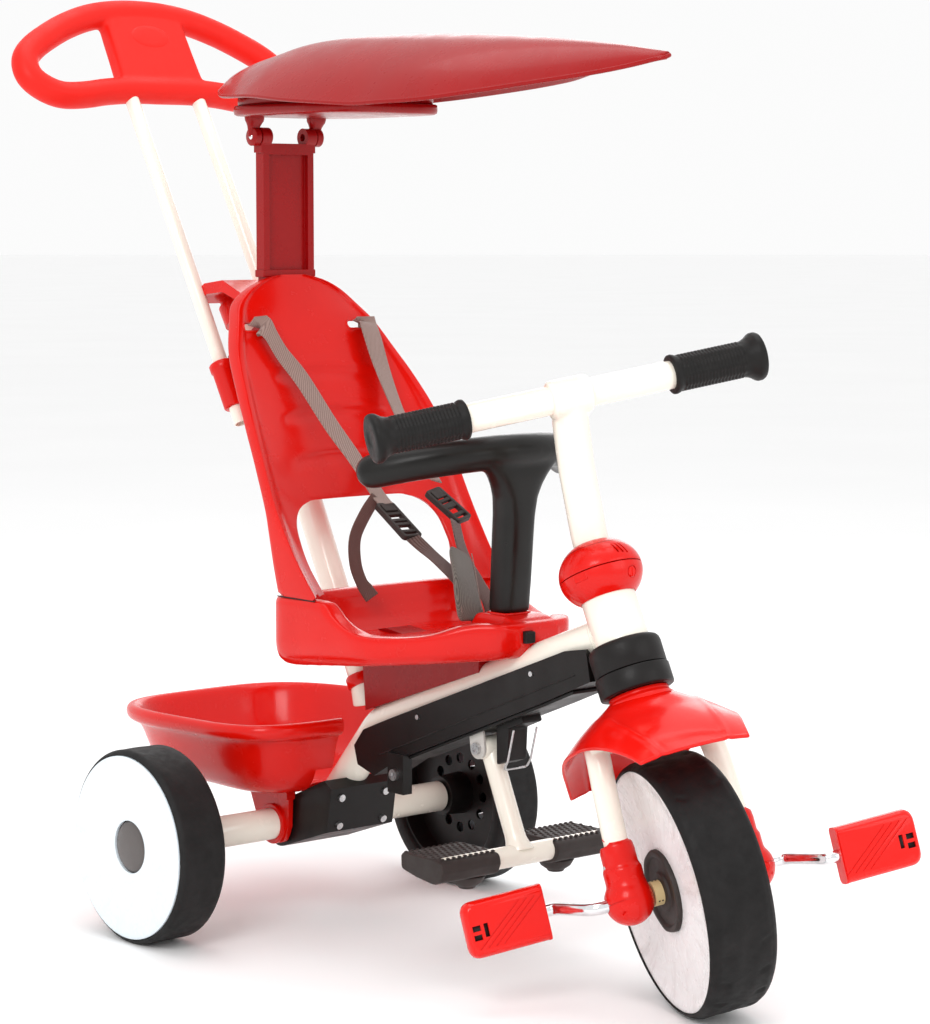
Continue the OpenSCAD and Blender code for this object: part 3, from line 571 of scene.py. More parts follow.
def make_steel():
    m = Mat("zinc_steel")
    m.set(Metallic=1.0)
    m.color(m.ramp(m.noise(300, 4), [(0.3, (0.45, 0.45, 0.46, 1)), (0.7, (0.66, 0.66, 0.66, 1))]))
    m.rough(m.span(m.noise(500, 4), 0.25, 0.42, 0.3, 0.7))
    m.bump(m.noise(1400, 3), 0.15, 0.0002)
    return m.m


def make_tyre(name, rgb=(13, 11, 11)):
    """EVA or blow-moulded tyre: matte, faint rings, scuffs on the tread."""
    m = Mat(name)
    c = lin(rgb)
    m.set(Specular_IOR_Level=0.22)
    m.color(m.ramp(m.noise(30, 6, 0.65), [(0.35, scaled(c, 0.8)), (0.62, scaled(c, 1.25)),
        (0.8, scaled(c, 2.0))]))
    m.rough(m.span(m.noise(90, 5, 0.6), 0.48, 0.72, 0.3, 0.7))
    a = m.bump(m.noise(900, 3, 0.5), 0.22, 0.0004)
    m.bump(m.noise(60, 3, 0.5), 0.12, 0.001, a)
    return m.m


def make_rubber():
    """Ribbed, slightly dusty grip rubber."""
    m = Mat("grip_rubber")
    c = lin((16, 14, 13))
    m.set(Specular_IOR_Level=0.25)
    m.color(m.ramp(m.noise(70, 5, 0.6), [(0.35, scaled(c, 0.85)), (0.7, scaled(c, 1.5))]))
    m.rough(m.span(m.noise(200, 4, 0.6), 0.42, 0.6, 0.3, 0.7))
    m.bump(m.noise(1600, 2, 0.5), 0.35, 0.0003)
    return m.m


def make_disc(name, rgb, streak, amount, turn=(0, 0, 0)):
    """White disc with faint rays from the hub; turn brings the axle to X."""
    m = Mat(name)
    c, s = lin(rgb), lin(streak)
    m.set(IOR=1.46, Coat_Weight=0.3, Coat_Roughness=0.1)
    local = m.node("Mapping", {"Vector": m.co}, Rotation=turn).outputs["Vector"]
    sep = m.node("SeparateXYZ", {"Vector": local})
    y, z = sep.outputs["Y"], sep.outputs["Z"]
    ang = m.mul(y, z, "ARCTAN2")
    rad = m.mul(m.mul(m.mul(y, y), m.mul(z, z), "ADD"), 0.5, "POWER")
    around = m.node("CombineXYZ", {"X": m.mul(ang, 0.0, "COSINE"), "Y": m.mul(ang, 0.0, "SINE"),
        "Z": m.mul(rad, 2.2)})
    rays = m.noise(9, 6, 0.72, around.outputs["Vector"])
    line = m.mul(m.span(rays, 0.0, amount, 0.5, 0.78), m.span(rad, 0.15, 1.0, 0.03, 0.085))
    mix = m.node("Mix", data_type="RGBA")
    m.t.links.new(line, mix.inputs[0])
    mix.inputs[6].default_value, mix.inputs[7].default_value = c, s
    m.color(mix.outputs[2])
    m.rough(m.span(m.noise(60, 4), 0.2, 0.34, 0.3, 0.7))
    m.bump(rays, 0.03, 0.0006)
    return m.m


def make_web(name, rgb, rgb2, co_scale=1.0):
    """Woven strap: crossed waves for the weave, with a twill line and fuzz."""
    m = Mat(name)
    c, d = lin(rgb), lin(rgb2)
    m.set(Sheen_Weight=0.35, Sheen_Roughness=0.5, Specular_IOR_Level=0.25)
    a = m.node("TexWave", {"Vector": m.co}, wave_type="BANDS", bands_direction="DIAGONAL",
        Scale=330 * co_scale, Distortion=0.6, Detail=1).outputs["Fac"]
    b = m.node("TexWave", {"Vector": m.stretch(1, 1, -1)}, wave_type="BANDS", bands_direction="DIAGONAL",
        Scale=330 * co_scale, Distortion=0.6, Detail=1).outputs["Fac"]
    weave = m.mul(a, b)
    fuzz = m.noise(1200, 3, 0.6)
    t = m.mul(m.mul(weave, 0.75), m.mul(fuzz, 0.35), "ADD")
    m.color(m.ramp(t, [(0.1, d), (0.55, c)]))
    m.rough(m.span(fuzz, 0.75, 0.95, 0.3, 0.7))
    m.bump(weave, 0.6, 0.0008, m.bump(fuzz, 0.3, 0.0004))
    return m.m


CHROME, STEEL = make_chrome(), make_steel()
TYRE_R, TYRE_F = make_tyre("rear_tyre_black", (27, 26, 26)), make_tyre("front_tyre_black", (22, 20, 20))
RUBBER = make_rubber()
WHEEL_TURN = (HUB.to_3x3().inverted()).to_euler()
DISC_R = make_disc("rear_disc_white", (226, 235, 241), (214, 230, 238), 0.8)
DISC_F = make_disc("front_disc_white", (236, 233, 233), (186, 178, 176), 0.8, tuple(WHEEL_TURN))
WEB = make_web("strap_weave", (176, 148, 138), (110, 88, 82))
WEB_DARK = make_web("strap_weave_brown", (120, 84, 76), (70, 46, 42))
PADWEB = make_web("pad_weave", (138, 128, 118), (52, 46, 42), 0.8)


def slab_cells(front, back, present=None):
    """Closed sheet between two equal grids; present(i, j) says which cells exist."""
    n, m = len(front), len(front[0])
    has = [[(present is None or present(i, j)) for j in range(m - 1)] for i in range(n - 1)]
    used = {}
    vs = []

    def vid(side, i, j):
        k = (side, i, j)
        if k not in used:
            used[k] = len(vs)
            vs.append((front if side == 0 else back)[i][j])
        return used[k]

    fs = []
    for i in range(n - 1):
        for j in range(m - 1):
            if not has[i][j]:
                continue
            q = [(i, j), (i, j + 1), (i + 1, j + 1), (i + 1, j)]
            fs.append(tuple(vid(0, *p) for p in q))
            fs.append(tuple(vid(1, *p) for p in reversed(q)))
            for k, (di, dj) in enumerate(((-1, 0), (0, 1), (1, 0), (0, -1))):
                a, b = i + di, j + dj
                if not (0 <= a < n - 1 and 0 <= b < m - 1 and has[a][b]):
                    p, r = q[k], q[(k + 1) % 4]
                    fs.append((vid(0, *r), vid(0, *p), vid(1, *p), vid(1, *r)))
    return vs, fs


def capsule(r, w, n=10):
    """Stadium outline, radius r, straight half length w, in 2D."""
    a = [(w + r * cos(t), r * sin(t)) for t in [-pi / 2 + pi * i / n for i in range(n + 1)]]
    return a + [(-x, -y) for x, y in a]


# ================ frame body
piece("main_tube_form", sweep(fillet([(0, -476, 357.4), (0, -124, 225), (0, -48, 139)], 70, 6, False), 18, 48,
    ends=4), FRAME, CREAM, ["main_tube"])
COLUMN = fillet([(0, -97, 242), (0, -93, 262), (0, 5, 453), (0, 137, 662)], [0, 15, 90, 0], 6, False)
piece("seat_column_form", sweep(COLUMN, 15, 48, ends=3), FRAME, CREAM, ["seat_column"])
piece("head_tube_form", lathe([(15.3, 212), (26, 212), (27, 213), (27, 298.5), (26.3, 299.6), (15.3, 299.6)],
    72, "Z"), NECK, CREAM, ["head_tube"], sharp=40)
# weld bead where the main tube meets the head
bead = []
for i in range(48):
    a = 2 * pi * i / 48
    x = 18.4 * cos(a)
    q = 18.4 * sin(a)
    t = math.sqrt(max(27.3 ** 2 - x * x, 1))
    # the tube runs back in head space at a height of about 253, falling slightly
    bead.append((x, t + 0.6, 252.4 + q * 1.004 - t * 0.092 + 2.5))
piece("head_weld", sweep(bead, [1.6 + 0.35 * sin(i * 2.9) for i in range(48)], 10, closed=True), NECK, CREAM)

piece("headset_cup_form", lathe([(27.2, 208.6), (35.2, 208.6), (36, 209.4), (36.2, 230), (35.6, 233.5),
    (33.8, 236.3), (31, 237.8), (27.2, 238)], 96, "Z"), NECK, BLACK, ["headset_cup"], sharp=50)

BALL_R, BALL_H, BALL_Z = 41.5, 34.5, 309


def ball(a0, a1, k):
    """Profile of the head ball from one angle of its ellipse to another."""
    turns = [radians(a0 + (a1 - a0) * i / k) for i in range(k + 1)]
    return [(BALL_R * cos(a), BALL_Z + BALL_H * sin(a)) for a in turns]


low = piece("ball_lower", lathe([(27.1, 308.2)] + [(27.1, 284)] + ball(-47.8, -1.4, 16)
    + [(40.9, 308.6), (36, 308.6)], 128, "Z"), NECK, RED, ["shell_lower"], sharp=50)


def radial(az, z, r, size, tilt=0):
    """Block on a turned surface at an azimuth: size is (radial, across, up)."""
    return moved(block((0, 0, 0), size), at(0, 0, z) @ spin(az, "Z") @ at(r, 0, 0) @ spin(tilt, "X"))


def leaned(az, z, r, lean):
    """Place out on a ball at an azimuth, with X standing out of it."""
    return at(0, 0, z) @ spin(az, "Z") @ at(r, 0, 0) @ spin(lean, "Y")


def round_at(az, z, r, lean, prof, n=32):
    """Turned detail whose axis stands out from a ball."""
    return moved(lathe(prof, n, "X"), leaned(az, z, r, lean))


def plug(prof):
    """Closes a lathe profile on its axis."""
    return [(0.01, prof[0][1])] + prof + [(0.01, prof[-1][1])]


cut(low, [round_at(-84, 297.5, 37.6, 20, plug([(6.2, 0), (6.2, 8)]), 28)])
piece("ball_screw", join(round_at(-84, 297.5, 36.9, 20, plug([(5.2, 0), (5.2, 1.6), (4.4, 2.4)]), 28),
    moved(block((0, 0, 0), (1.2, 1.5, 8.5)), leaned(-84, 297.5, 37.4, 20) @ at(1.9, 0, 0))), NECK, RED2,
    sharp=35)
# step of the parting line: a small raised tongue from the lower half
piece("ball_step", radial(-163, 303.8, 39.9, (2.2, 15, 7.5)), NECK, RED, bevel=0.8)

from_cad("channel_cover", BLACK, 2.2)
piece("cover_strip", prism(fillet([(-447, 296.5), (-403, 278.4), (-296, 236.4), (-184, 192.4), (-184, 195.6),
    (-296, 239.8), (-403, 281.8), (-447, 300)], 1.2), 44), FRAME, BLACK, bevel=0.8)
piece("cover_seam", both(join(*[rod((25.3, a[0], a[1]), (25.3, b[0], b[1]), 0.7, 8)
    for a, b in zip([(-452, 316), (-403, 297), (-296, 254), (-196, 214)],
    [(-403, 297), (-296, 254), (-196, 214), (-150, 196)])])), FRAME, DARK)
repaint("frame_screws", STEEL)
from_cad("axle_clamp", BLACK, 2.5)
piece("axle_tube_form", lathe([(15, -181), (16.4, -181), (17, -180.4), (17, 180.4), (16.4, 181), (15, 181)],
    72, "X", closed=True), (RWR, "frame"), CREAM, ["axle_tube"], sharp=50)
repaint("axle_rod", STEEL)
repaint("axle_bushes", BLACK)

# ---------------- basket
def basket_ring(s, z, tilt, m=112):
    out = []
    for j in range(m):
        a = 2 * pi * j / m
        c, sn = cos(a), sin(a)
        x = math.copysign(abs(c) ** 0.5, c) * (143 - 10 * sn)
        y = 60 - (-sn) ** 0.55 * 152 if sn < 0 else 60 + sn ** 0.62 * 163
        x, y = x * s, TUB_MID + (y - TUB_MID) * s
        out.append((x, y, z - tilt * (y - 60)))
    return out


rows = curve([(0.02, 146, 0), (0.3, 146, 0), (0.55, 146.4, 0), (0.7, 152, 0), (0.79, 166, 0.01),
    (0.85, 187, 0.02), (0.9, 210, 0.03), (0.925, 218.5, 0.03), (0.955, 222.3, 0.03), (0.985, 221, 0.03),
    (1.0, 215.5, 0.03), (0.993, 209, 0.03), (0.965, 205, 0.03), (0.935, 203.5, 0.03), (0.9, 194, 0.025),
    (0.87, 180, 0.02), (0.825, 163, 0.01), (0.73, 148.2, 0), (0.56, 141.6, 0), (0.3, 141, 0), (0.02, 141, 0)],
    3)
bas = piece("basket_tub", loft([basket_ring(*r) for r in rows]), FRAME, RED, ["basket"])
cut(bas, [prism(fillet([(-27, -140), (27, -140), (27, -25), (-27, -25)], [0, 0, 14, 14], 5), 160, 212, "XY"),
    prism(fillet([(-49, -140), (49, -140), (49, -34), (-49, -34)], [0, 0, 6, 6], 4), 50, 146, "XY")])
shade(bas, 50)
plate = fillet([(-28, 140.6), (-26, 102), (-17, 82.5), (17, 82.5), (29, 103), (46, 140.6)],
    [3, 12, 14, 14, 12, 3], 5)
piece("basket_bracket_form", both(join(prism(plate, 6.4, 50), prism(fillet([(-28, 132), (-28, 140.6),
    (48, 140.6), (43, 132)], 2), 12, 50), moved(lathe([(17.1, -7), (21.4, -7), (22, -6.4), (22, 6.4),
    (21.4, 7), (17.1, 7)], 48, "X", closed=True), at(50, 0, 102.5)))), FRAME, RED, ["basket_brackets"],
    bevel=0.8)

# ---------------- seat
from_cad("seat_fin", DEEP, 3)
piece("column_collar", moved(lathe([(15.1, -8), (17.6, -8), (18.4, -6.5), (18.4, 3), (17, 5), (15.1, 5.4)],
    48, "Z", closed=True), at(0, -90.5, 267) @ spin(-27.2, "X")), FRAME, RED, sharp=40)

PAN_W = [(-372, 22), (-366, 44), (-350, 60), (-325, 84), (-290, 108), (-250, 127), (-200, 131), (-150, 132),
    (-116, 131), (-100, 122), (-94, 104)]
RIM_H = [(-372, 358), (-345, 357), (-311, 345), (-270, 341), (-240, 342), (-215, 350), (-200, 358),
    (-190, 369), (-94, 369)]
half = curve([(0, -373), (11, -372.8)] + [(w, y) for y, w in PAN_W]
    + [(80, -93), (50, -92), (20, -92), (0, -92)], 4)
edge = mirrored(half)


def pan(s, z, k, drop=0.0):
    out = []
    for x, y in edge:
        back = (y - PAN_MID) * s
        out.append((x * s, PAN_MID + back, z * (1 - k) + k * smooth_look(y, RIM_H) - drop * back))
    return out


# scale about the middle, height, share of the rim line, fall towards the back
PAN_RINGS = [(0.04, 331, 0, 0.1), (0.3, 331, 0, 0.1), (0.5, 331.5, 0, 0.1), (0.66, 333, 0.02, 0.08),
    (0.745, 336, 0.15, 0.04), (0.795, 338, 0.4, 0.02), (0.835, 338, 0.75), (0.868, 338, 0.96),
    (0.892, 338, 1.0), (0.93, 338.3, 1.0), (0.975, 338, 0.99), (0.992, 336, 0.94), (1.0, 335, 0.8),
    (1.0, 334, 0.4, 0.05), (1.0, 332, 0, 0.1), (0.995, 324, 0, 0.1), (0.98, 316.5, 0, 0.1),
    (0.94, 310, 0, 0.1), (0.88, 307, 0, 0.1), (0.83, 308.5, 0, 0.1), (0.79, 318, 0, 0.1), (0.74, 325, 0, 0.1),
    (0.5, 326, 0, 0.1), (0.04, 326, 0, 0.1)]
horn = prism(fillet([(-372.5, 334), (-372.5, 352), (-361, 360.4), (-349, 363), (-305, 363), (-296, 350),
    (-290, 325), (-305, 319), (-350, 321)], [5, 5, 5, 5, 9, 10, 8, 6, 6]), 52)
seat = piece("seat_pan_form", join(loft([pan(*r) for r in PAN_RINGS]), horn), FRAME, RED,
    ["seat_pan", "guard_socket"])
melt(seat, 2.2, 5)
cut(seat, [block((0, -327, 352), (26.6, 20.6, 60)), block((-15, -371, 344), (12.6, 16, 12.6)),
    rod((0, -93, 262), (0, 5, 453), 15.2, 40), prism([(-120, 238), (-107.8, 322), (-150, 329.2), (-200, 324),
    (-302, 322), (-302, 300)], 34.6)])
shade(seat, 55)
piece("socket_collar", loop_loft([[(x * k, -327 + y * k2, z) for x, y in rect(19, 15, 6, 5)]
    for k, k2, z in ((0.74, 0.75, 361), (0.76, 0.78, 364), (0.94, 0.94, 364.4), (1.0, 1.0, 363.6),
    (1.03, 1.04, 361))]), FRAME, RED)

# backrest: columns follow the edge of the window, then close over it
BACK_W = [(369, 130), (400, 131), (430, 132), (457, 132), (485, 131), (512, 129), (535, 127), (560, 123),
    (585, 117), (605, 111), (625, 103), (645, 93), (662, 82), (676, 68), (686, 52), (693, 34), (697, 15)]
BACK_Y = [(369, -112), (462, -76), (550, -40), (642, 2), (697, 31)]
RIM_Y = [(369, -178), (400, -150), (430, -128), (457, -111), (512, -82), (550, -60), (585, -35), (615, -12),
    (647, 8), (668, 24), (697, 31)]
RIM_T = [(369, 64), (400, 44), (430, 28), (457, 18), (500, 15), (662, 15), (686, 8), (697, 5)]
WIN = [(369, 87), (381, 92), (395, 97), (409, 99), (422, 98.6), (435, 97), (444, 93), (452, 86), (458, 76),
    (461.5, 62)]


def dip(z, x, z0, half, deep, up=5):
    """Groove that bows upward at its middle and fades out at its ends."""
    c = z0 + up * (1 - (x / half) ** 2)
    u = (z - c) / 6.5
    f = max(0.0, 1 - (abs(x) / half) ** 6)
    return deep * f * (math.exp(-u * u) - 0.45 * math.exp(-((z - c - 9) / 6.0) ** 2))


def back_at(z, x, out):
    w = smooth_look(z, BACK_W)
    s = min(abs(x) / w, 1)
    y0, y1 = smooth_look(z, BACK_Y), smooth_look(z, RIM_Y)
    y = y0 + (y1 - y0) * s ** 2.4
    if out == 0:
        lip = 1 / (1 + math.exp(-(s - 0.905) / 0.008))
        y -= 3.4 * lip * (1 - max(0, (s - 0.985) / 0.015) ** 2 * 0.55)
        y += dip(z, x, 588, 68, 3.0) + dip(z, x, 545, 72, 3.4) + dip(z, x, 500, 70, 3.4)
        return (x, y, z)
    t = 5 + (smooth_look(z, RIM_T) - 5) / (1 + math.exp(-(s - 0.845) / 0.012))
    t -= 2.0 * max(0, (s - 0.97) / 0.03) ** 2
    return (x, y + t, z)


zs = [WINDOW_FOOT + (WINDOW_TOP - WINDOW_FOOT) * i / WINDOW_ROWS for i in range(WINDOW_ROWS + 1)]
zs += [WINDOW_TOP + (BACK_TOP - WINDOW_TOP) * i / 84 for i in range(1, 85)]
us = [0, 0.012, 0.03, 0.055, 0.085, 0.12, 0.16, 0.2, 0.25, 0.32, 0.42, 0.55, 0.7, 0.84, 0.93, 0.98, 1.0]
mid = [(-1 + 2 * i / 26) for i in range(1, 26)]
fg, bg = [], []
for z in zs:
    w = smooth_look(z, BACK_W)
    e = smooth_look(z, WIN) if z <= WINDOW_TOP else min(62, 0.78 * w)
    cols = [-(w - u * (w - e)) for u in us] + [e * t for t in mid] + [w - u * (w - e) for u in reversed(us)]
    fg.append([back_at(z, x, 0) for x in cols])
    bg.append([back_at(z, x, 1) for x in cols])


def beside_window(i, j):
    """Whether a cell of the backrest's grid exists: only the window's do not."""
    return i >= WINDOW_ROWS or not 0 <= j - len(us) + 1 <= len(mid)


back = piece("backrest_form", slab_cells(fg, bg, beside_window), FRAME, RED, ["backrest"])
m = back.modifiers.new("soft", "SMOOTH")
m.factor, m.iterations = 0.5, 2
bake(back)
cut(back, [moved(prism(capsule(3.4, 12.5, 8), 80, 0, "XZ"), at(s * SLOT_X, -8, SLOT_Z)) for s in (-1, 1)])
shade(back, 48)
piece("strap_slot_rims", both(sweep([(SLOT_X + x, back_at(SLOT_Z + z, SLOT_X + x, 0)[1] - 0.1, SLOT_Z + z)
    for x, z in capsule(4.6, 12.5, 8)], 1.1, 8, closed=True)), FRAME, RED)
piece("seat_seam", both(sweep(curve([(129.6, -176, 369.3), (130.4, -140, 369.3), (129.4, -112, 369.3)], 4),
    0.6, 8)), FRAME, DARK)

from_cad("back_bracket", DEEP, 1.2)
sleeve = [(8.1, -404), (11.8, -404), (13, -402.8), (13, -360.5), (14.5, -359), (14.5, -351.4), (13.4, -350.2),
    (8.1, -350.2)]
piece("handle_sleeves_form", both(moved(lathe(sleeve, 64, "Z", closed=True), at(PUSH_X, 0, 0))),
    (PUSH, "frame"), RED, ["handle_sleeves"], sharp=50)
from_cad("handle_brace", RED, 2.2)
from_cad("canopy_post", DEEP, 2.0)
piece("post_lip", prism(fillet([(35.2, 694), (35.2, 702), (51, 702), (51, 694)], 1.5), 71), FRAME, DEEP,
    bevel=1)

# ---------------- footrest mount
from_cad("footrest_ears", WHITE_IN, 0.5)
repaint("footrest_pin", STEEL)
from_cad("footrest_block", BLACK, 2.2)
piece("latch_wire", sweep(fillet([(-15.5, -352, 247), (-15.5, -343, 214), (-15.5, -337, 205),
    (15.5, -337, 205), (15.5, -343, 214), (15.5, -352, 247)], [0, 4, 4, 4, 4, 0], 4, False), 1.1, 12, ends=1),
    FRAME, STEEL)

# ---------------- harness
def strap(path, w=9.5, t=0.75, k=6, up=(0, -1, 0)):
    p = curve(path, k)
    return sweep([q[:3] for q in p], [(q[3] if len(q) > 3 else w, t) for q in p], 16, up=up, e=5)


near = [(-70, 1.5, 642, 13), (-69, -9, 643, 12.5), (-64, -15.5, 634, 9), (-56, -25, 614, 9),
    (-42, -42, 586, 10), (-30, -74.8, 540, 10), (-22, -105, 506, 9.5), (-18, -138, 471, 9),
    (-17, -152, 460, 9)]
far = [(72, 1.5, 642, 13), (73, -8, 644, 13), (71, -18, 632, 12.5), (68, -40.5, 594, 11),
    (60, -80.5, 547, 8.5), (54, -120.5, 511, 8), (46, -158, 481, 8)]
piece("shoulder_straps", join(strap(near), strap(far)), FRAME, WEB, ["harness_shoulder"])
wn = [(-19, -196, 430, 8), (-14, -214, 417, 8), (-12, -238, 404, 8.5), (-10, -264, 387, 9),
    (-9, -284, 366, 9), (-9, -292, 343, 9)]
wf = [(31, -207, 443, 8), (20, -228, 423, 8), (14, -246, 405, 8.5), (12, -264, 388, 9), (11, -285, 366, 9),
    (11, -292, 343, 9)]
piece("lap_straps", join(strap(wn), strap(wf)), FRAME, WEB_DARK, ["harness_waist"])
piece("loose_strap_end", strap([(-22, -142, 468, 7.5), (-33, -137, 450, 8), (-42, -131, 425, 8),
    (-41, -130, 398, 8), (-34, -131, 378, 7.5), (-29, -134, 369, 8.5), (-25, -138, 361, 9)], t=0.8), FRAME,
    WEB_DARK)


def buckle(w, l):
    """Ladder-lock adjuster, long along Y, with bars and a lifted tongue."""
    o = rect(w, l, 4)
    i = rect(w - 3.4, l - 3.6, 2)
    frame_ring = loop_loft([[(x, y, z) for x, y in ring] for ring, z in ((o, -3), (o, 2.2), (o, 3.2),
        (i, 3.2), (i, 2.2), (i, -3))])
    bars = join(*[block((0, y, 0.2), (2 * w - 5, 4.2, 4.6)) for y in (-l + 10, -l + 22, 0, l - 18)])
    tongue = block((0, l - 9, 2.2), (2 * w - 9, 11, 3.4))
    return join(frame_ring, bars, tongue)


B1 = at(-18, -172.8, 444) @ spin(32, "X")
B2 = at(37, -187.8, 458) @ spin(38, "X") @ spin(16, "Z")
piece("strap_adjusters", join(moved(buckle(12, 29), B1), moved(buckle(12, 25), B2)), FRAME, PAD,
    ["harness_buckles"], bevel=0.7)
pad_path = curve([(6, -243, 415), (0, -254, 404), (-7, -266, 393), (-15, -279, 380), (-20, -289, 366),
    (-21, -293, 355)], 5)
n = len(pad_path)
pad = piece("crotch_pad", sweep(pad_path, [(16.5 + 1.6 * sin(pi * i / n) - 3 * abs(2 * i / n - 1) ** 6,
    3.0 + 1.0 * sin(pi * i / n)) for i in range(n)], 28, ends=2.5, up=(0, -1, 0), e=3.2), FRAME, PADWEB,
    sub=1)
piece("pad_stitching", join(*[sweep([(p[0] + s * 13.2, p[1] - 2.5, p[2] + 2.9) for p in pad_path[2:-2]], 0.55,
    6) for s in (-1, 1)]), FRAME, WEB)

# ================ steering body
blade = curve([(56, 4, 150), (57.2, 4, 132), (59.6, 5, 108), (61.4, 10, 74), (62, 17, 40), (62, 20, 20)], 6)
crown = prism(fillet([(-66, -9), (66, -9), (66, 17), (-66, 17)], 9, 6), 12, 145, "XY")
piece("fork_form", join(both(sweep(blade, 12, 36, ends=4)), crown, rod((0, 0, 140), (0, 0, 299), 15, 48),
    both(moved(lathe([(6.1, -8), (13.4, -8), (14, -7.4), (14, 7.4), (13.4, 8), (6.1, 8)], 40, "X",
    closed=True), at(62, HUB_Y, 0)))), STEER, CREAM, ["fork"])
piece("headset_ring_form", lathe([(15.2, 187), (34.5, 187), (36.4, 187.8), (37, 189.5), (37, 206.8),
    (36.4, 207.8), (30, 208), (15.2, 208)], 96, "Z", closed=True), STEER, BLACK, ["headset_ring"], sharp=50)

FT_W = [(-50, 55), (-43, 60), (-34, 67), (-24, 73), (-12, 77), (0, 78), (12, 76), (22, 71), (31, 64),
    (40, 57)]
FT_D = [(-50, 5), (-34, 12), (-12, 20), (0, 21), (12, 18), (40, 8)]
FT_R = [(-50, 169), (-34, 171), (-24, 175), (-16, 181), (0, 182), (12, 177), (22, 171), (40, 169)]


def fender_at(t, s, g):
    w = smooth_look(t, FT_W)
    r = FENDER_R + (smooth_look(t, FT_R) - FENDER_R) * (1 - s * s) - smooth_look(t, FT_D) * abs(s) ** 2.6 - g
    a = radians(t)
    x, y = s * (w - g * abs(s)), HUB_Y + r * sin(a)
    near = hypot(x, y)
    if near < 56:
        r += 5.0 * ((56 - max(near, 30)) / 26) ** 2.2
    # soft shoulder crease each side of the crown
    r += 1.3 * math.exp(-((abs(s) - 0.62) / 0.05) ** 2) * (1 if t < -14 or t > 20 else 0.4)
    return (x, HUB_Y + r * sin(a), r * cos(a))


ts = [-50 + 90 * i / 60 for i in range(61)]
ss = [-1 + 2 * i / 56 for i in range(57)]
fen = piece("fender_form", slab_cells([[fender_at(t, s, 0) for s in ss] for t in ts],
    [[fender_at(t, s, 2.6) for s in ss] for t in ts]), STEER, RED2, ["fender"])
cut(fen, [rod((0, 0, 100), (0, 0, 260), 25, 48)])
shade(fen, 48)
piece("fender_neck", lathe([(26.5, 166), (26.5, 186.4), (29.6, 186.4), (30, 186), (30, 183.5), (30.8, 181.2),
    (33, 179), (33, 166)], 96, "Z", closed=True), STEER, RED2, sharp=60)
rim = [fender_at(ts[0], s, 1.3) for s in ss]
rim += [fender_at(t, 1, 1.3) for t in ts[1:]]
rim += [fender_at(ts[-1], s, 1.3) for s in reversed(ss[:-1])]
rim += [fender_at(t, -1, 1.3) for t in reversed(ts[1:-1])]
piece("fender_rim", sweep(rim, 2.0, 10, closed=True), STEER, RED2)

top = piece("ball_upper", lathe([(18.1, 339), (18.1, 309.5), (41.2, 309.5)] + ball(1.6, 61, 18)
    + [(19.4, 339.4)], 128, "Z"), STEER, RED, ["shell_upper"], sharp=50)
cut(top, [radial(-62 - 7.6 * k, 322.5 + 0.8 * k, 39.2, (9, 2.1, 13.5), 14) for k in range(3)])
shade(top, 45)
# near-black ring behind the vents: painted shade for their dark insides
piece("ball_vent_floor", lathe([(33.0, 312), (34.6, 318), (33.6, 326), (30.0, 333)], 64, "Z"), STEER, DARK)

stem_path = fillet([(0, 0, 301), (0, 0, 345), (0, -26, 412), (0, -50, 452), (0, -66, 470)],
    [0, 60, 60, 60, 0], 6, False)
stem = piece("stem_form", join(sweep(stem_path, 18, 48), moved(sweep([(-21, 0, 0), (-19.5, 0, 0),
    (19.5, 0, 0), (21, 0, 0)], [16, 18.8, 18.8, 16], 48), BAR)), STEER, CREAM, ["stem"])
melt(stem, 1.7, 7)
piece("handlebar_form", moved(lathe([(12, -198), (13.6, -198.4), (14, -197.6), (14, 197.6), (13.6, 198.4),
    (12, 198)], 64, "X", closed=True), BAR), STEER, CREAM, ["handlebar"], sharp=50)
def grip_flutes(a, r, q):
    return r + (0.35 * cos(12 * a) if 116 < q < 181 else 0), q


grip = [(14.1, 106.7), (18.2, 106.5), (19.3, 107.3), (19.6, 109.6), (18.9, 112), (17.6, 114.4)]
x = 116
while x < 180:
    grip += [(17.5, x), (18.2, x + 0.7), (18.2, x + 2.0), (17.5, x + 2.7)]
    x += 3.6
grip += [(17.8, 182.5), (18.6, 186), (20.6, 190.5), (23.2, 194), (24, 196), (24, 199.4), (23, 201.4),
    (20, 202.4), (9, 202.5), (7.5, 201.6), (0.01, 201.6)]
piece("grips_form", both(moved(lathe(grip, 72, "X", wob=grip_flutes), BAR)), STEER, RUBBER, ["grips"])

dome = [(24 * sin(a), 63 + 24 * -cos(a)) for a in [0.45 + (pi - 0.46) * i / 22 for i in range(23)]]
dome = [(0.01, 41.4)] + [(r, max(q, 41.4)) for r, q in dome]
for s, nm in ((1, "left"), (-1, "right")):
    c = piece("fork_cover_" + nm, join(moved(lathe(dome, 64, "X", s), at(0, HUB_Y, 0)),
        sweep(curve([(s * 62, 22.4, -2), (s * 62, 20.5, 18), (s * 62, 18.6, 34), (s * 62, 16, 50),
        (s * 62, 15.7, 52)], 4), [(20, 20)] * 4 + [(19, 19)] * 4 + [(17, 17)] * 4 + [(16.4, 16.4)] * 4
        + [(16.2, 16.2)], 48)), STEER, RED, ["fork_covers"] if s > 0 else [])
    melt(c, 1.2, 5)
    cut(c, [loop_loft([[(s * 62 + x * k, HUB_Y + y * k, z) for x, y in section(25.5, 25.5, 2, 40)]
        for k, z in ((0.93, -1.5), (1.06, -1.5), (1.06, -0.5), (0.93, -0.5))]),
        moved(rod((0, 0, 0), (0, 0, 12), 3.4, 24), at(s * 76, 6.5, -14) @ spin(55, "X") @ spin(s * 60, "Y")),
        rod((s * 30, HUB_Y, 0), (s * 100, HUB_Y, 0), 6.4, 32)])
    shade(c, 50)
piece("cover_rivets", both(moved(lathe([(0.01, 0), (3.2, 0), (3.2, 0.9), (2.4, 1.9), (0.01, 2.3)], 24, "X"),
    at(77.4, 18.5, 34))), STEER, STEEL)

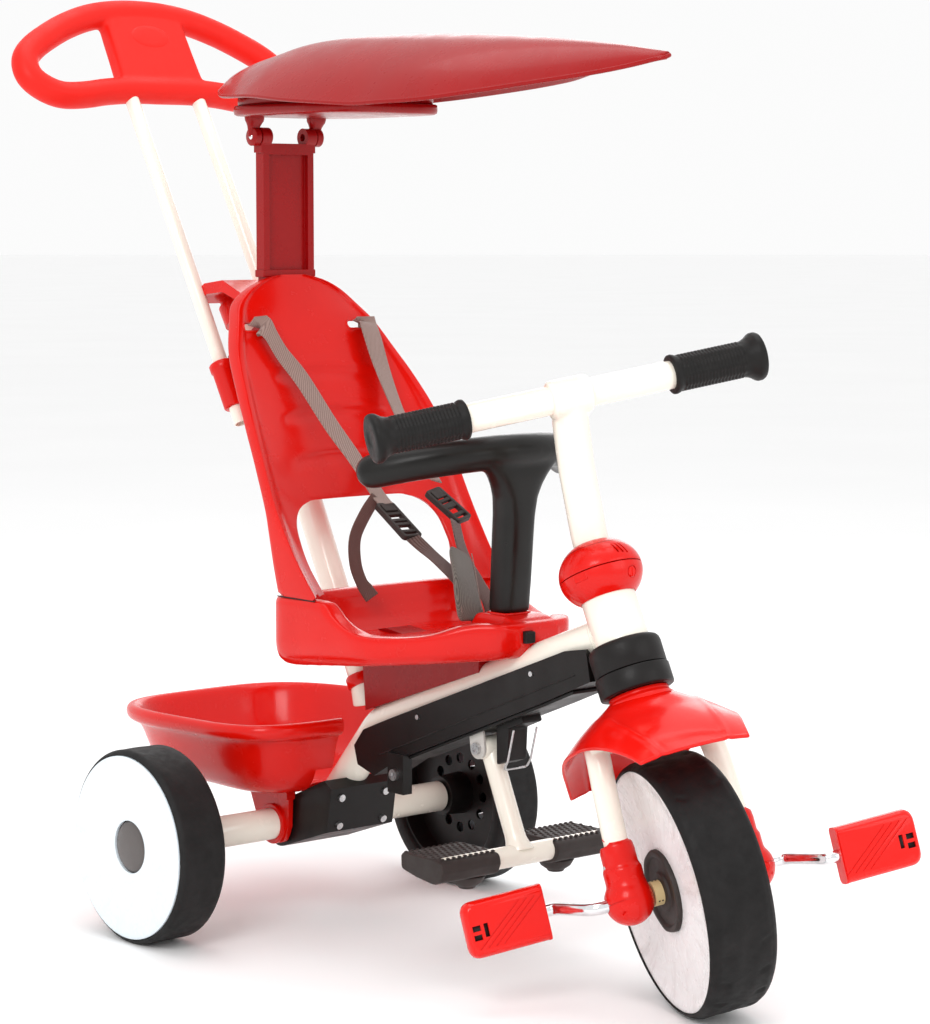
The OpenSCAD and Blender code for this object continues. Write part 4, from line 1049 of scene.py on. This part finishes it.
# ================ front wheel
def arc2(cr, cx, r, a0, a1, k=8):
    return [(cr + r * sin(radians(a0 + (a1 - a0) * i / k)), cx + r * cos(radians(a0 + (a1 - a0) * i / k)))
        for i in range(k + 1)]


side_arc = arc2(111, 22, 14, 29, 90, 9)          # from the side face up to the tread
tread = [(FRONT_R, 22 - 2 * i) for i in range(1, 22)]
outer = side_arc + tread + [(r, -q) for r, q in reversed(side_arc)]
prof = [(103.6, 26.6), (110, 29.6), (117.7, 30.7), (117.9, 33.4)] + outer + [(117.9, -33.4), (117.7, -30.7),
    (110, -29.6), (103.6, -26.6)]


def lugs(a, r, q):
    """Short sunk dashes round both shoulders and a slow ripple."""
    k = abs(q)
    if r > 119:
        f = math.exp(-((k - 20) / 5.5) ** 4)
        ph = (24 * a + (1.6 if q > 0 else 0) + 0.05 * k) / (2 * pi)
        d = abs(ph - round(ph))
        r -= 1.25 * f * max(0, 1 - (d / 0.10) ** 4)
        r -= 0.5 * math.exp(-((k - 27.5) / 0.9) ** 2)
        r -= 0.25 + 0.25 * sin(5 * a + 0.3 * q)
    return r, q


piece("front_tyre_form", lathe(prof, 288, "X", closed=True, wob=lugs), WHEEL, TYRE_F, ["front_tyre"])
disc = [(40, 23), (40, 26.0), (43, 26.4), (52, 26.5), (70, 26.9), (90, 27.6), (99, 28.4), (106, 30.2),
    (111, 31.9), (115.5, 32.4), (117.2, 32.2), (117.5, 31.2), (110, 29.9), (103.8, 27), (103.8, 23)]
for s, nm in ((1, "left"), (-1, "right")):
    piece("front_disc_" + nm, lathe(disc, 160, "X", s, closed=True), WHEEL, DISC_F,
        ["front_discs"] if s > 0 else [], sharp=40)
def hub_scallops(a, r, q):
    return r - (0.9 * (0.5 + 0.5 * cos(9 * a)) if r > 37 else 0), q


hubp = [(17.5, 0), (17.5, 24.6), (38, 24.6), (40.4, 25.6), (40.6, 29.2), (39.6, 31), (35.5, 31), (34.2, 30),
    (32.6, 28.4), (22, 27.6), (19.5, 28.2), (18, 30.4), (13, 31.2), (6.2, 31.2)]
piece("front_hub_form", both(lathe(hubp, 144, "X", wob=hub_scallops)), WHEEL, PAD, ["front_hub"], sharp=40)
slv = lathe([(6.2, 31), (12, 31), (12, 39.6), (11.4, 40.2), (6.2, 40.2)], 48, "X")
dots = join(*[moved(lathe([(0.01, 0), (1.1, 0.0), (0.9, 0.25), (0.01, 0.3)], 12, "Z"),
    spin(a, "X") @ at(x, 0, 11.9)) for a in (20, 140, 260) for x in (33.6, 37.0)])
piece("clutch_sleeves_form", both(slv), WHEEL, BEIGE, ["clutch_sleeves"], sharp=40)
piece("sleeve_dots", both(dots), WHEEL, DARK)

CV = V((0, CRANK_THROW * cos(radians(CRANK_LEAN)), CRANK_THROW * sin(radians(CRANK_LEAN))))
cp = [V((-209, 0, 0)) + CV, V((-119, 0, 0)) + CV, V((-100, 0, 0)), V((100, 0, 0)), V((119, 0, 0)) - CV,
    V((209, 0, 0)) - CV]
cpath = fillet([tuple(p) for p in cp], [0, 11, 14, 14, 11, 0], 8, False)
crr = [4.0 if abs(p[0]) > 127 else 6.0 for p in cpath]
full = []
rad = []
for i, p in enumerate(cpath):
    if i and crr[i] != crr[i - 1]:
        q = V(cpath[i - 1]).lerp(V(p), 0.12 if crr[i] < crr[i - 1] else 0.86)
        q2 = V(cpath[i - 1]).lerp(V(p), 0.15 if crr[i] < crr[i - 1] else 0.89)
        full += [tuple(q), tuple(q2)]
        rad += [crr[i - 1], crr[i]]
    full.append(p)
    rad.append(crr[i])
piece("crank_form", sweep(full, rad, 36, ends=1.5), WHEEL, CHROME, ["crankshaft"], sharp=40)

for s, nm in ((-1, "right"), (1, "left")):
    P = HUB @ Matrix.Translation(V((s * PEDAL_X, 0, 0)) / 1000) @ Matrix.Translation(-s * CV / 1000)
    P = P @ spin(PEDAL_LEAN, "X")
    place = (P, nm + "_pedal")
    # outline across X and Z: round corners at the outer end, a small flange at the crank end
    def outline(k, h, w=41.0):
        return fillet([(-s * (w - 1.2), -h), (-s * (w - 1.2), h), (s * (w - k), h), (s * (w - k), -h)],
            [2.2, 2.2, 12, 12], 6)
    rings = []
    for y, g in ((-10, 5.2), (-9.6, 4.2), (-8.6, 3.0), (-6.5, 1.4), (-4, 0.5), (0, 0), (4, 0.5), (6.5, 1.4),
        (8.6, 3.0), (9.6, 4.2), (10, 5.2)):
        rings.append([(x, y, z) for x, z in outline(g * 0.8, 27.5 - g)])
    ped = piece("pedal_%s_form" % nm, loft(rings), place, RED2, ["pedal_%s" % nm])
    cut(ped, [loft([[(x, y, z) for y, z in rect(8.6, 27.4, 6, 5)] for x in (-s * 41, -s * 38.6)])], "UNION")
    cut(ped, [moved(block((0, 0, 0), (1.1, 1.6, 60)), at(s * (10 - 8 * k) + s * 6, t * 10, 0) @ spin(52, "Y"))
        for t in (-1, 1) for k in range(1, 5)])
    cut(ped, [block((s * x, t * 9.6, z), size) for t in (-1, 1) for x, z, size in ((31, -7, (8, 5, 5.4)),
        (31, 1.8, (8, 5, 5.4)), (21.5, -1.5, (4.4, 5, 13)))])
    shade(ped, 42)
    # near-black sheets at the floors of the pedal recesses: painted shade
    piece("pedal_%s_slots" % nm, join(*[block((s * 27, t * 7.6, -2.5), (18, 0.6, 16)) for t in (-1, 1)]),
        place, DARK)
    piece("pedal_%s_cap" % nm, moved(lathe([(0.01, 0), (4.6, 0), (4.4, 1.0), (0.01, 1.4)], 24, "X", s),
        at(s * 39.4, 0, 0)), place, DARK)

# ================ rear wheels
def tread_ripple(a, r, q):
    return r - (0.22 + 0.22 * sin(4 * a + 0.2 * q) if r > 99 else 0), q


ra = arc2(95.5, 237.9, 7, 20, 90, 7)
rb = [(r, 188 + (244.9 - q)) for r, q in reversed(ra)]
rt = [(REAR_R, 237.9 - (237.9 - 195) * i / 14) for i in range(1, 14)]
rprof = [(96.8, 240.2), (96.8, 244.2)] + ra + rt + rb + [(93, 188), (86, 188), (84.2, 189.5), (84.2, 240.2)]
rdisc = [(27.8, 237.6), (27.8, 240.6), (30, 241.2), (60, 244.2), (86, 246.4), (92, 246.9), (95, 246.8),
    (96.3, 245.8), (96.4, 243.4), (86, 243.2), (60, 240.9)]
cap = [(0.01, 242), (8, 241.8), (16, 241.2), (22.5, 240.4), (25.6, 239.4), (27.2, 237.8), (27.4, 236)]
for s, nm in ((-1, "right"), (1, "left")):
    place = (RWR, "rear_wheel_" + nm)
    piece("rear_tyre_%s_form" % nm, lathe(rprof, 224, "X", s, closed=True, wob=tread_ripple), place, TYRE_R,
        ["rear_tyre_" + nm])
    piece("rear_disc_%s_form" % nm, lathe(rdisc, 160, "X", s, closed=True), place, DISC_R,
        ["rear_disc_" + nm], sharp=40)
    piece("hub_cap_%s_form" % nm, lathe(cap, 96, "X", s), place, GREY, ["hub_cap_" + nm], sharp=50)
    repaint("rear_rim_" + nm, BLACK)

# ================ footrest
cross = V((0, -345, 118))
piece("footrest_bar_form", join(sweep([tuple(V((0, -300, 218)).lerp(cross, t))
    for t in (0, 0.2, 0.8, 0.86, 0.92, 0.97)], [10.5, 10.5, 10.5, 11.2, 13.2, 15.5], 40, ends=1),
    sweep([(-104.5, -345, 118), (104.5, -345, 118)], 11, 40, ends=1.5),
    moved(lathe([(3.1, -13.4), (10.6, -13.4), (11.5, -12.6), (11.5, 12.6), (10.6, 13.4), (3.1, 13.4)], 48,
    "X", closed=True), at(0, -298, 222))), FOOTREST, CREAM, ["footrest_bar"])
sec = fillet([(-345, 103.2), (-318, 106.5), (-293.6, 112), (-293, 126), (-297, 128.6), (-345, 129),
    (-357.5, 126), (-360, 117), (-356, 107)], [10, 6, 5, 4, 5, 6, 6, 6, 6], 4)
body = []
for x, k in ((37.2, 0.9), (38, 0.96), (40, 1.0), (112, 1.0), (114, 0.96), (114.8, 0.9)):
    body.append([(x, -330 + (y + 330) * k, 117 + (z - 117) * k) for y, z in sec])
nub = lathe([(0.01, 1.6), (1.2, 1.4), (2.0, 0.8), (2.3, 0)], 10, "Z")
spots = [(42 + 7.3 * i + (3.6 if j % 2 else 0), -351 + 7.4 * j, 128.4) for i in range(10) for j in range(8)]
nubs = [moved(nub, at(*p)) for p in spots if p[0] < 112]
piece("foot_pads_form", both(join(loft(body), sweep([(60, -332, 103), (60, -332, 97), (60, -332, 92.5)],
    [19, 15.5, 9], 36, ends=2))), FOOTREST, PAD, ["foot_pads"], bevel=0.8)
piece("foot_pad_nubs", both(join(*nubs)), FOOTREST, PAD)

# ================ canopy
CW = [(-549, 4), (-543, 9), (-520, 17), (-475, 38), (-430, 58), (-390, 76), (-350, 92), (-310, 104),
    (-265, 111), (-215, 115), (-160, 117), (-100, 116), (-40, 109), (0, 99), (30, 88), (60, 73), (90, 54),
    (115, 32), (133, 12)]
CZ = [(-549, 912), (-480, 922), (-400, 931), (-300, 939), (-200, 944), (-100, 945.5), (-40, 943), (12, 935),
    (60, 928), (100, 919), (133, 907)]
# the shell sits slightly rolled, so its right edge hangs lower than its left one
CD_RIGHT = [(-549, 4), (-489, 24.5), (-429, 40), (-369, 53.4), (-309, 64), (-249, 69), (-219, 71), (-159, 69),
    (-99, 65), (-39, 57), (0, 50), (60, 38), (100, 22), (133, 6)]
CD_LEFT = [(-549, 2), (-450, 14), (-364, 28), (-300, 40), (-200, 52), (-80, 60), (0, 58), (55, 46), (100, 26),
    (133, 6)]


def can_at(y, s, g):
    drop = smooth_look(y, CD_RIGHT if s < 0 else CD_LEFT)
    return (s * (smooth_look(y, CW) - g * abs(s)), y, smooth_look(y, CZ) - g - drop * abs(s) ** 2.2)


ys = [-549, -546, -542, -537, -530] + [-520 + 10 * i for i in range(65)] + [126, 130, 133]
cs = [-1 + 2 * i / 40 for i in range(41)]
piece("canopy_form", slab_cells([[can_at(y, s, 0) for s in cs] for y in ys],
    [[can_at(y, s, 3.6) for s in cs] for y in ys]), CANOPY, DEEP, ["canopy_shell"], sharp=60)
lip = [can_at(y, 1, 1.5) for y in ys] + [can_at(y, -1, 1.5) for y in reversed(ys)]
piece("canopy_rim", sweep(lip, 2.3, 10, closed=True), CANOPY, DEEP)
# shallow tray under the shell, with a rolled lip
tray = mirrored([(0, -146), (40, -145), (68, -134), (82, -108), (84, -80), (84, -30), (82, 12), (68, 42),
    (40, 54), (0, 55)])
tray = curve([(x, y, 871) for x, y in tray[-1:] + tray[:-1]], 5, True)
floor = [[(x * k, TRAY_MID + (y - TRAY_MID) * k, z) for x, y, _ in tray]
    for k, z in ((0.02, 868.4), (0.5, 868.4), (0.9, 868.4), (0.955, 870), (0.975, 875.4), (0.985, 876.6),
    (1.0, 875.6), (1.004, 871), (0.995, 867.4), (0.97, 866), (0.5, 866), (0.02, 866))]
piece("canopy_tray", loft(floor), CANOPY, DEEP, ["canopy_frame"])
side = []
for x, y, _ in tray:
    d = max(smooth_look(y, CD_RIGHT), smooth_look(y, CD_LEFT))
    side.append(smooth_look(y, CZ) - 4.4 - d * min(abs(x) / smooth_look(y, CW), 1) ** 2.2)
piece("canopy_web", loft([[(x * k, TRAY_MID + (y - TRAY_MID) * k, 872 + (t - 872) * f)
    for (x, y, _), t in zip(tray, side)] for k, f in ((0.955, 0), (0.962, 0.5), (0.955, 1.0), (0.93, 1.0),
    (0.935, 0.5), (0.93, 0))] + [[(x * 0.955, TRAY_MID + (y - TRAY_MID) * 0.955, 872) for x, y, _ in tray]],
    cap=False), CANOPY, DEEP)
neck = sweep([(41.8, 43, 845), (41.8, 43, 853), (41.8, 42.6, 856), (41.8, 42, 859), (41.8, 41.5, 862),
    (41.8, 41, 865), (41.8, 41, 867)], [(4.3, 6.5), (4.3, 6.8), (4.4, 7.6), (5.2, 9.2), (6.6, 11),
    (6.8, 11.6), (6.8, 11.8)], 28, up=(1, 0, 0), e=2.6)
knuckle = moved(lathe([(0.01, -4.4), (8.8, -4.4), (10, -3.4), (10, 3.4), (8.8, 4.4), (0.01, 4.4)], 48, "X"),
    at(*KNUCKLE))
piece("canopy_arms_form", both(join(neck, knuckle)), CANOPY, DEEP, ["canopy_arms"], sharp=50)
piece("canopy_screws", both(moved(lathe([(0.01, 0), (3.4, 0), (3.2, 0.8), (1.6, 1.5), (0.01, 1.6)], 24, "X"),
    at(46.0, 42, 845))), CANOPY, CHROME)

# ================ push handle
tube = [(6.6, -424), (7.7, -424), (8, -423.6), (8, 40), (6.6, 40)]
piece("push_tubes_form", both(moved(lathe(tube, 40, "Z", closed=True), at(PUSH_X, 0, 0))), HANDLE, CREAM,
    ["push_tubes"], sharp=50)
ring_side = [(0, 104), (35, 102), (70, 95), (104, 82), (134, 66), (158, 50), (172, 34), (173, 15), (160, 0),
    (138, -9), (108, -8), (76, -3), (40, 0)]
loop = curve([(x, 0, y) for x, y in mirrored(ring_side + [(0, 0)])], 5, True)
panel = []
for y, g in ((-12, 6), (-11.4, 3.2), (-9.8, 1.2), (-7, 0), (7, 0), (9.8, 1.2), (11.4, 3.2), (12, 6)):
    panel.append([(x, y, z) for x, z in fillet([(-56 + g, -12 + g), (56 - g, -12 + g), (52 - g, 97 - g),
        (-52 + g, 97 - g)], 10, 5)])
pg = piece("push_grip_form", join(sweep(loop, 15.3, 28, closed=True, up=(0, 1, 0)), loft(panel),
    both(rod((PUSH_X, 0, -11), (PUSH_X, 0, 4), 11.5, 32))), HANDLE, SOFT, ["push_grip"])
melt(pg, 2.0, 8)
cut(pg, [rod((s * PUSH_X, 0, -60), (s * PUSH_X, 0, 3), 8.2, 32) for s in (-1, 1)])
shade(pg, 60)
piece("grip_emboss", moved(lathe([(0.01, 0.9), (10, 0.9), (15.4, 0.75), (17, 0.3), (17.8, -0.6)], 56, "Z"),
    at(0, -11.7, 66) @ spin(90, "X") @ Matrix.Diagonal((1.5, 0.86, 1, 1))), HANDLE, SOFT)

# ================ guard
G = at(0, -342, 527) @ spin(-14, "X")
arc = [(142 * sin(radians(a)), 142 * (1 - cos(radians(a))), 0) for a in [-63 + 126 * i / 48
    for i in range(49)]]
bar = moved(sweep(arc, 17.4, 36, ends=17), G)
post = []
for z, w, y0, y1 in ((363.6, 18.6, -343.6, -310.4), (400, 18.6, -347.5, -312.5), (440, 18.8, -350.5, -314.5),
    (462, 19.4, -352, -316.5), (480, 22.5, -352.8, -319.5), (492, 28, -353.5, -322), (502, 35, -354, -325),
    (511, 44, -353.5, -328), (518, 52, -352, -331)):
    cy, hy = (y0 + y1) / 2, (y1 - y0) / 2
    post.append([(x, cy + y, z) for x, y in section(w, hy, 3.4, 40)])
gd = piece("guard_form", join(bar, loft(post)), (TR, "guard_bar"), GUARD, ["guard"])
melt(gd, 2.2, 9, 0.6)
piece("guard_tongue", prism(rect(12.7, 9.7, 2, 3), 40, 346, "XY"), (TR @ at(0, -0.327, 0), "guard_bar"),
    GUARD, bevel=0.8)
btn = rect(6, 6, 2)
piece("release_button_form", loft([[(-15 + x * k, y, 344 + z * k) for x, z in btn]
    for k, y in ((1, -368), (1, -376.6), (0.93, -377.7), (0.74, -378), (0.66, -377.2), (0.02, -377.2))]),
    (TR, "button"), BLACK, ["release_button"], sharp=40)

fm = Mat("floor_paper")
fm.set(Specular_IOR_Level=0.2)
fm.color(fm.ramp(fm.noise(1.2, 3), [(0.3, (0.955, 0.955, 0.955, 1)), (0.7, (0.975, 0.975, 0.975, 1))]))
fm.rough(fm.span(fm.noise(4, 3), 0.7, 0.85, 0.3, 0.7))
fm.bump(fm.noise(300, 2), 0.03, 0.0005)
HALF_FLOOR = 60
v, f = loft([[(x, y, 0) for y in (-HALF_FLOOR, 0, HALF_FLOOR)] for x in (-HALF_FLOOR, HALF_FLOOR)], cap=False,
    wrap=False)
fl = bpy.data.meshes.new("floor")
fl.from_pydata(v, [], f)
fl.materials.append(fm.m)
flo = link(bpy.data.objects.new("floor", fl))
flo.rotation_euler = (0, 0, radians(-40.4))
for p in fl.polygons:
    p.use_smooth = True
flo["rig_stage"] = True

world = bpy.data.worlds.new("studio")
bpy.context.scene.world = world
world.use_nodes = True
sky = world.node_tree.nodes["Background"].inputs
sky["Color"].default_value, sky["Strength"].default_value = (1.0, 1.0, 1.0, 1), 0.97

# name, place, what it looks at, width and height, watts
for name, place, target, size, power in (("key", (-2.6, -1.6, 2.4), (0, 0, 0.4), (1.4, 1.4), 40),
    ("front", (0.6, -3.0, 1.6), (0, -0.2, 0.4), (2.0, 1.6), 14), ("top", (0.2, 0.3, 3.2), (0, 0, 0.4),
    (2.4, 2.4), 30), ("rim", (2.4, 2.2, 1.6), (0, 0, 0.5), (1.4, 1.8), 14)):
    lamp = bpy.data.lights.new(name, "AREA")
    lamp.shape, lamp.size, lamp.size_y, lamp.energy = "RECTANGLE", size[0], size[1], power
    o = link(bpy.data.objects.new(name, lamp))
    o.location = place
    o.rotation_euler = (V(target) - V(place)).to_track_quat("-Z", "Y").to_euler()

cd = bpy.data.cameras.new("camera")
cd.lens, cd.sensor_width = 102.82, 36
cam = link(bpy.data.objects.new("camera", cd))
cam.location = (-1.926657, -2.328250, 0.755829)
cam.rotation_euler = (radians(84.295), 0, radians(-40.433))
bpy.context.scene.camera = cam
bpy.context.scene.view_settings.view_transform = "Standard"
bpy.context.scene.view_settings.look = "None"

# meshes stand square to the shared frame, with only their origins moved
bpy.context.view_layer.update()
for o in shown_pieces():
    if o.name not in frame["nodes"] and o.type == "MESH":
        origin, rotation, _ = o.matrix_world.decompose()
        o.data.transform(rotation.to_matrix().to_4x4())
        o.matrix_world = Matrix.Translation(origin)
bpy.context.view_layer.update()
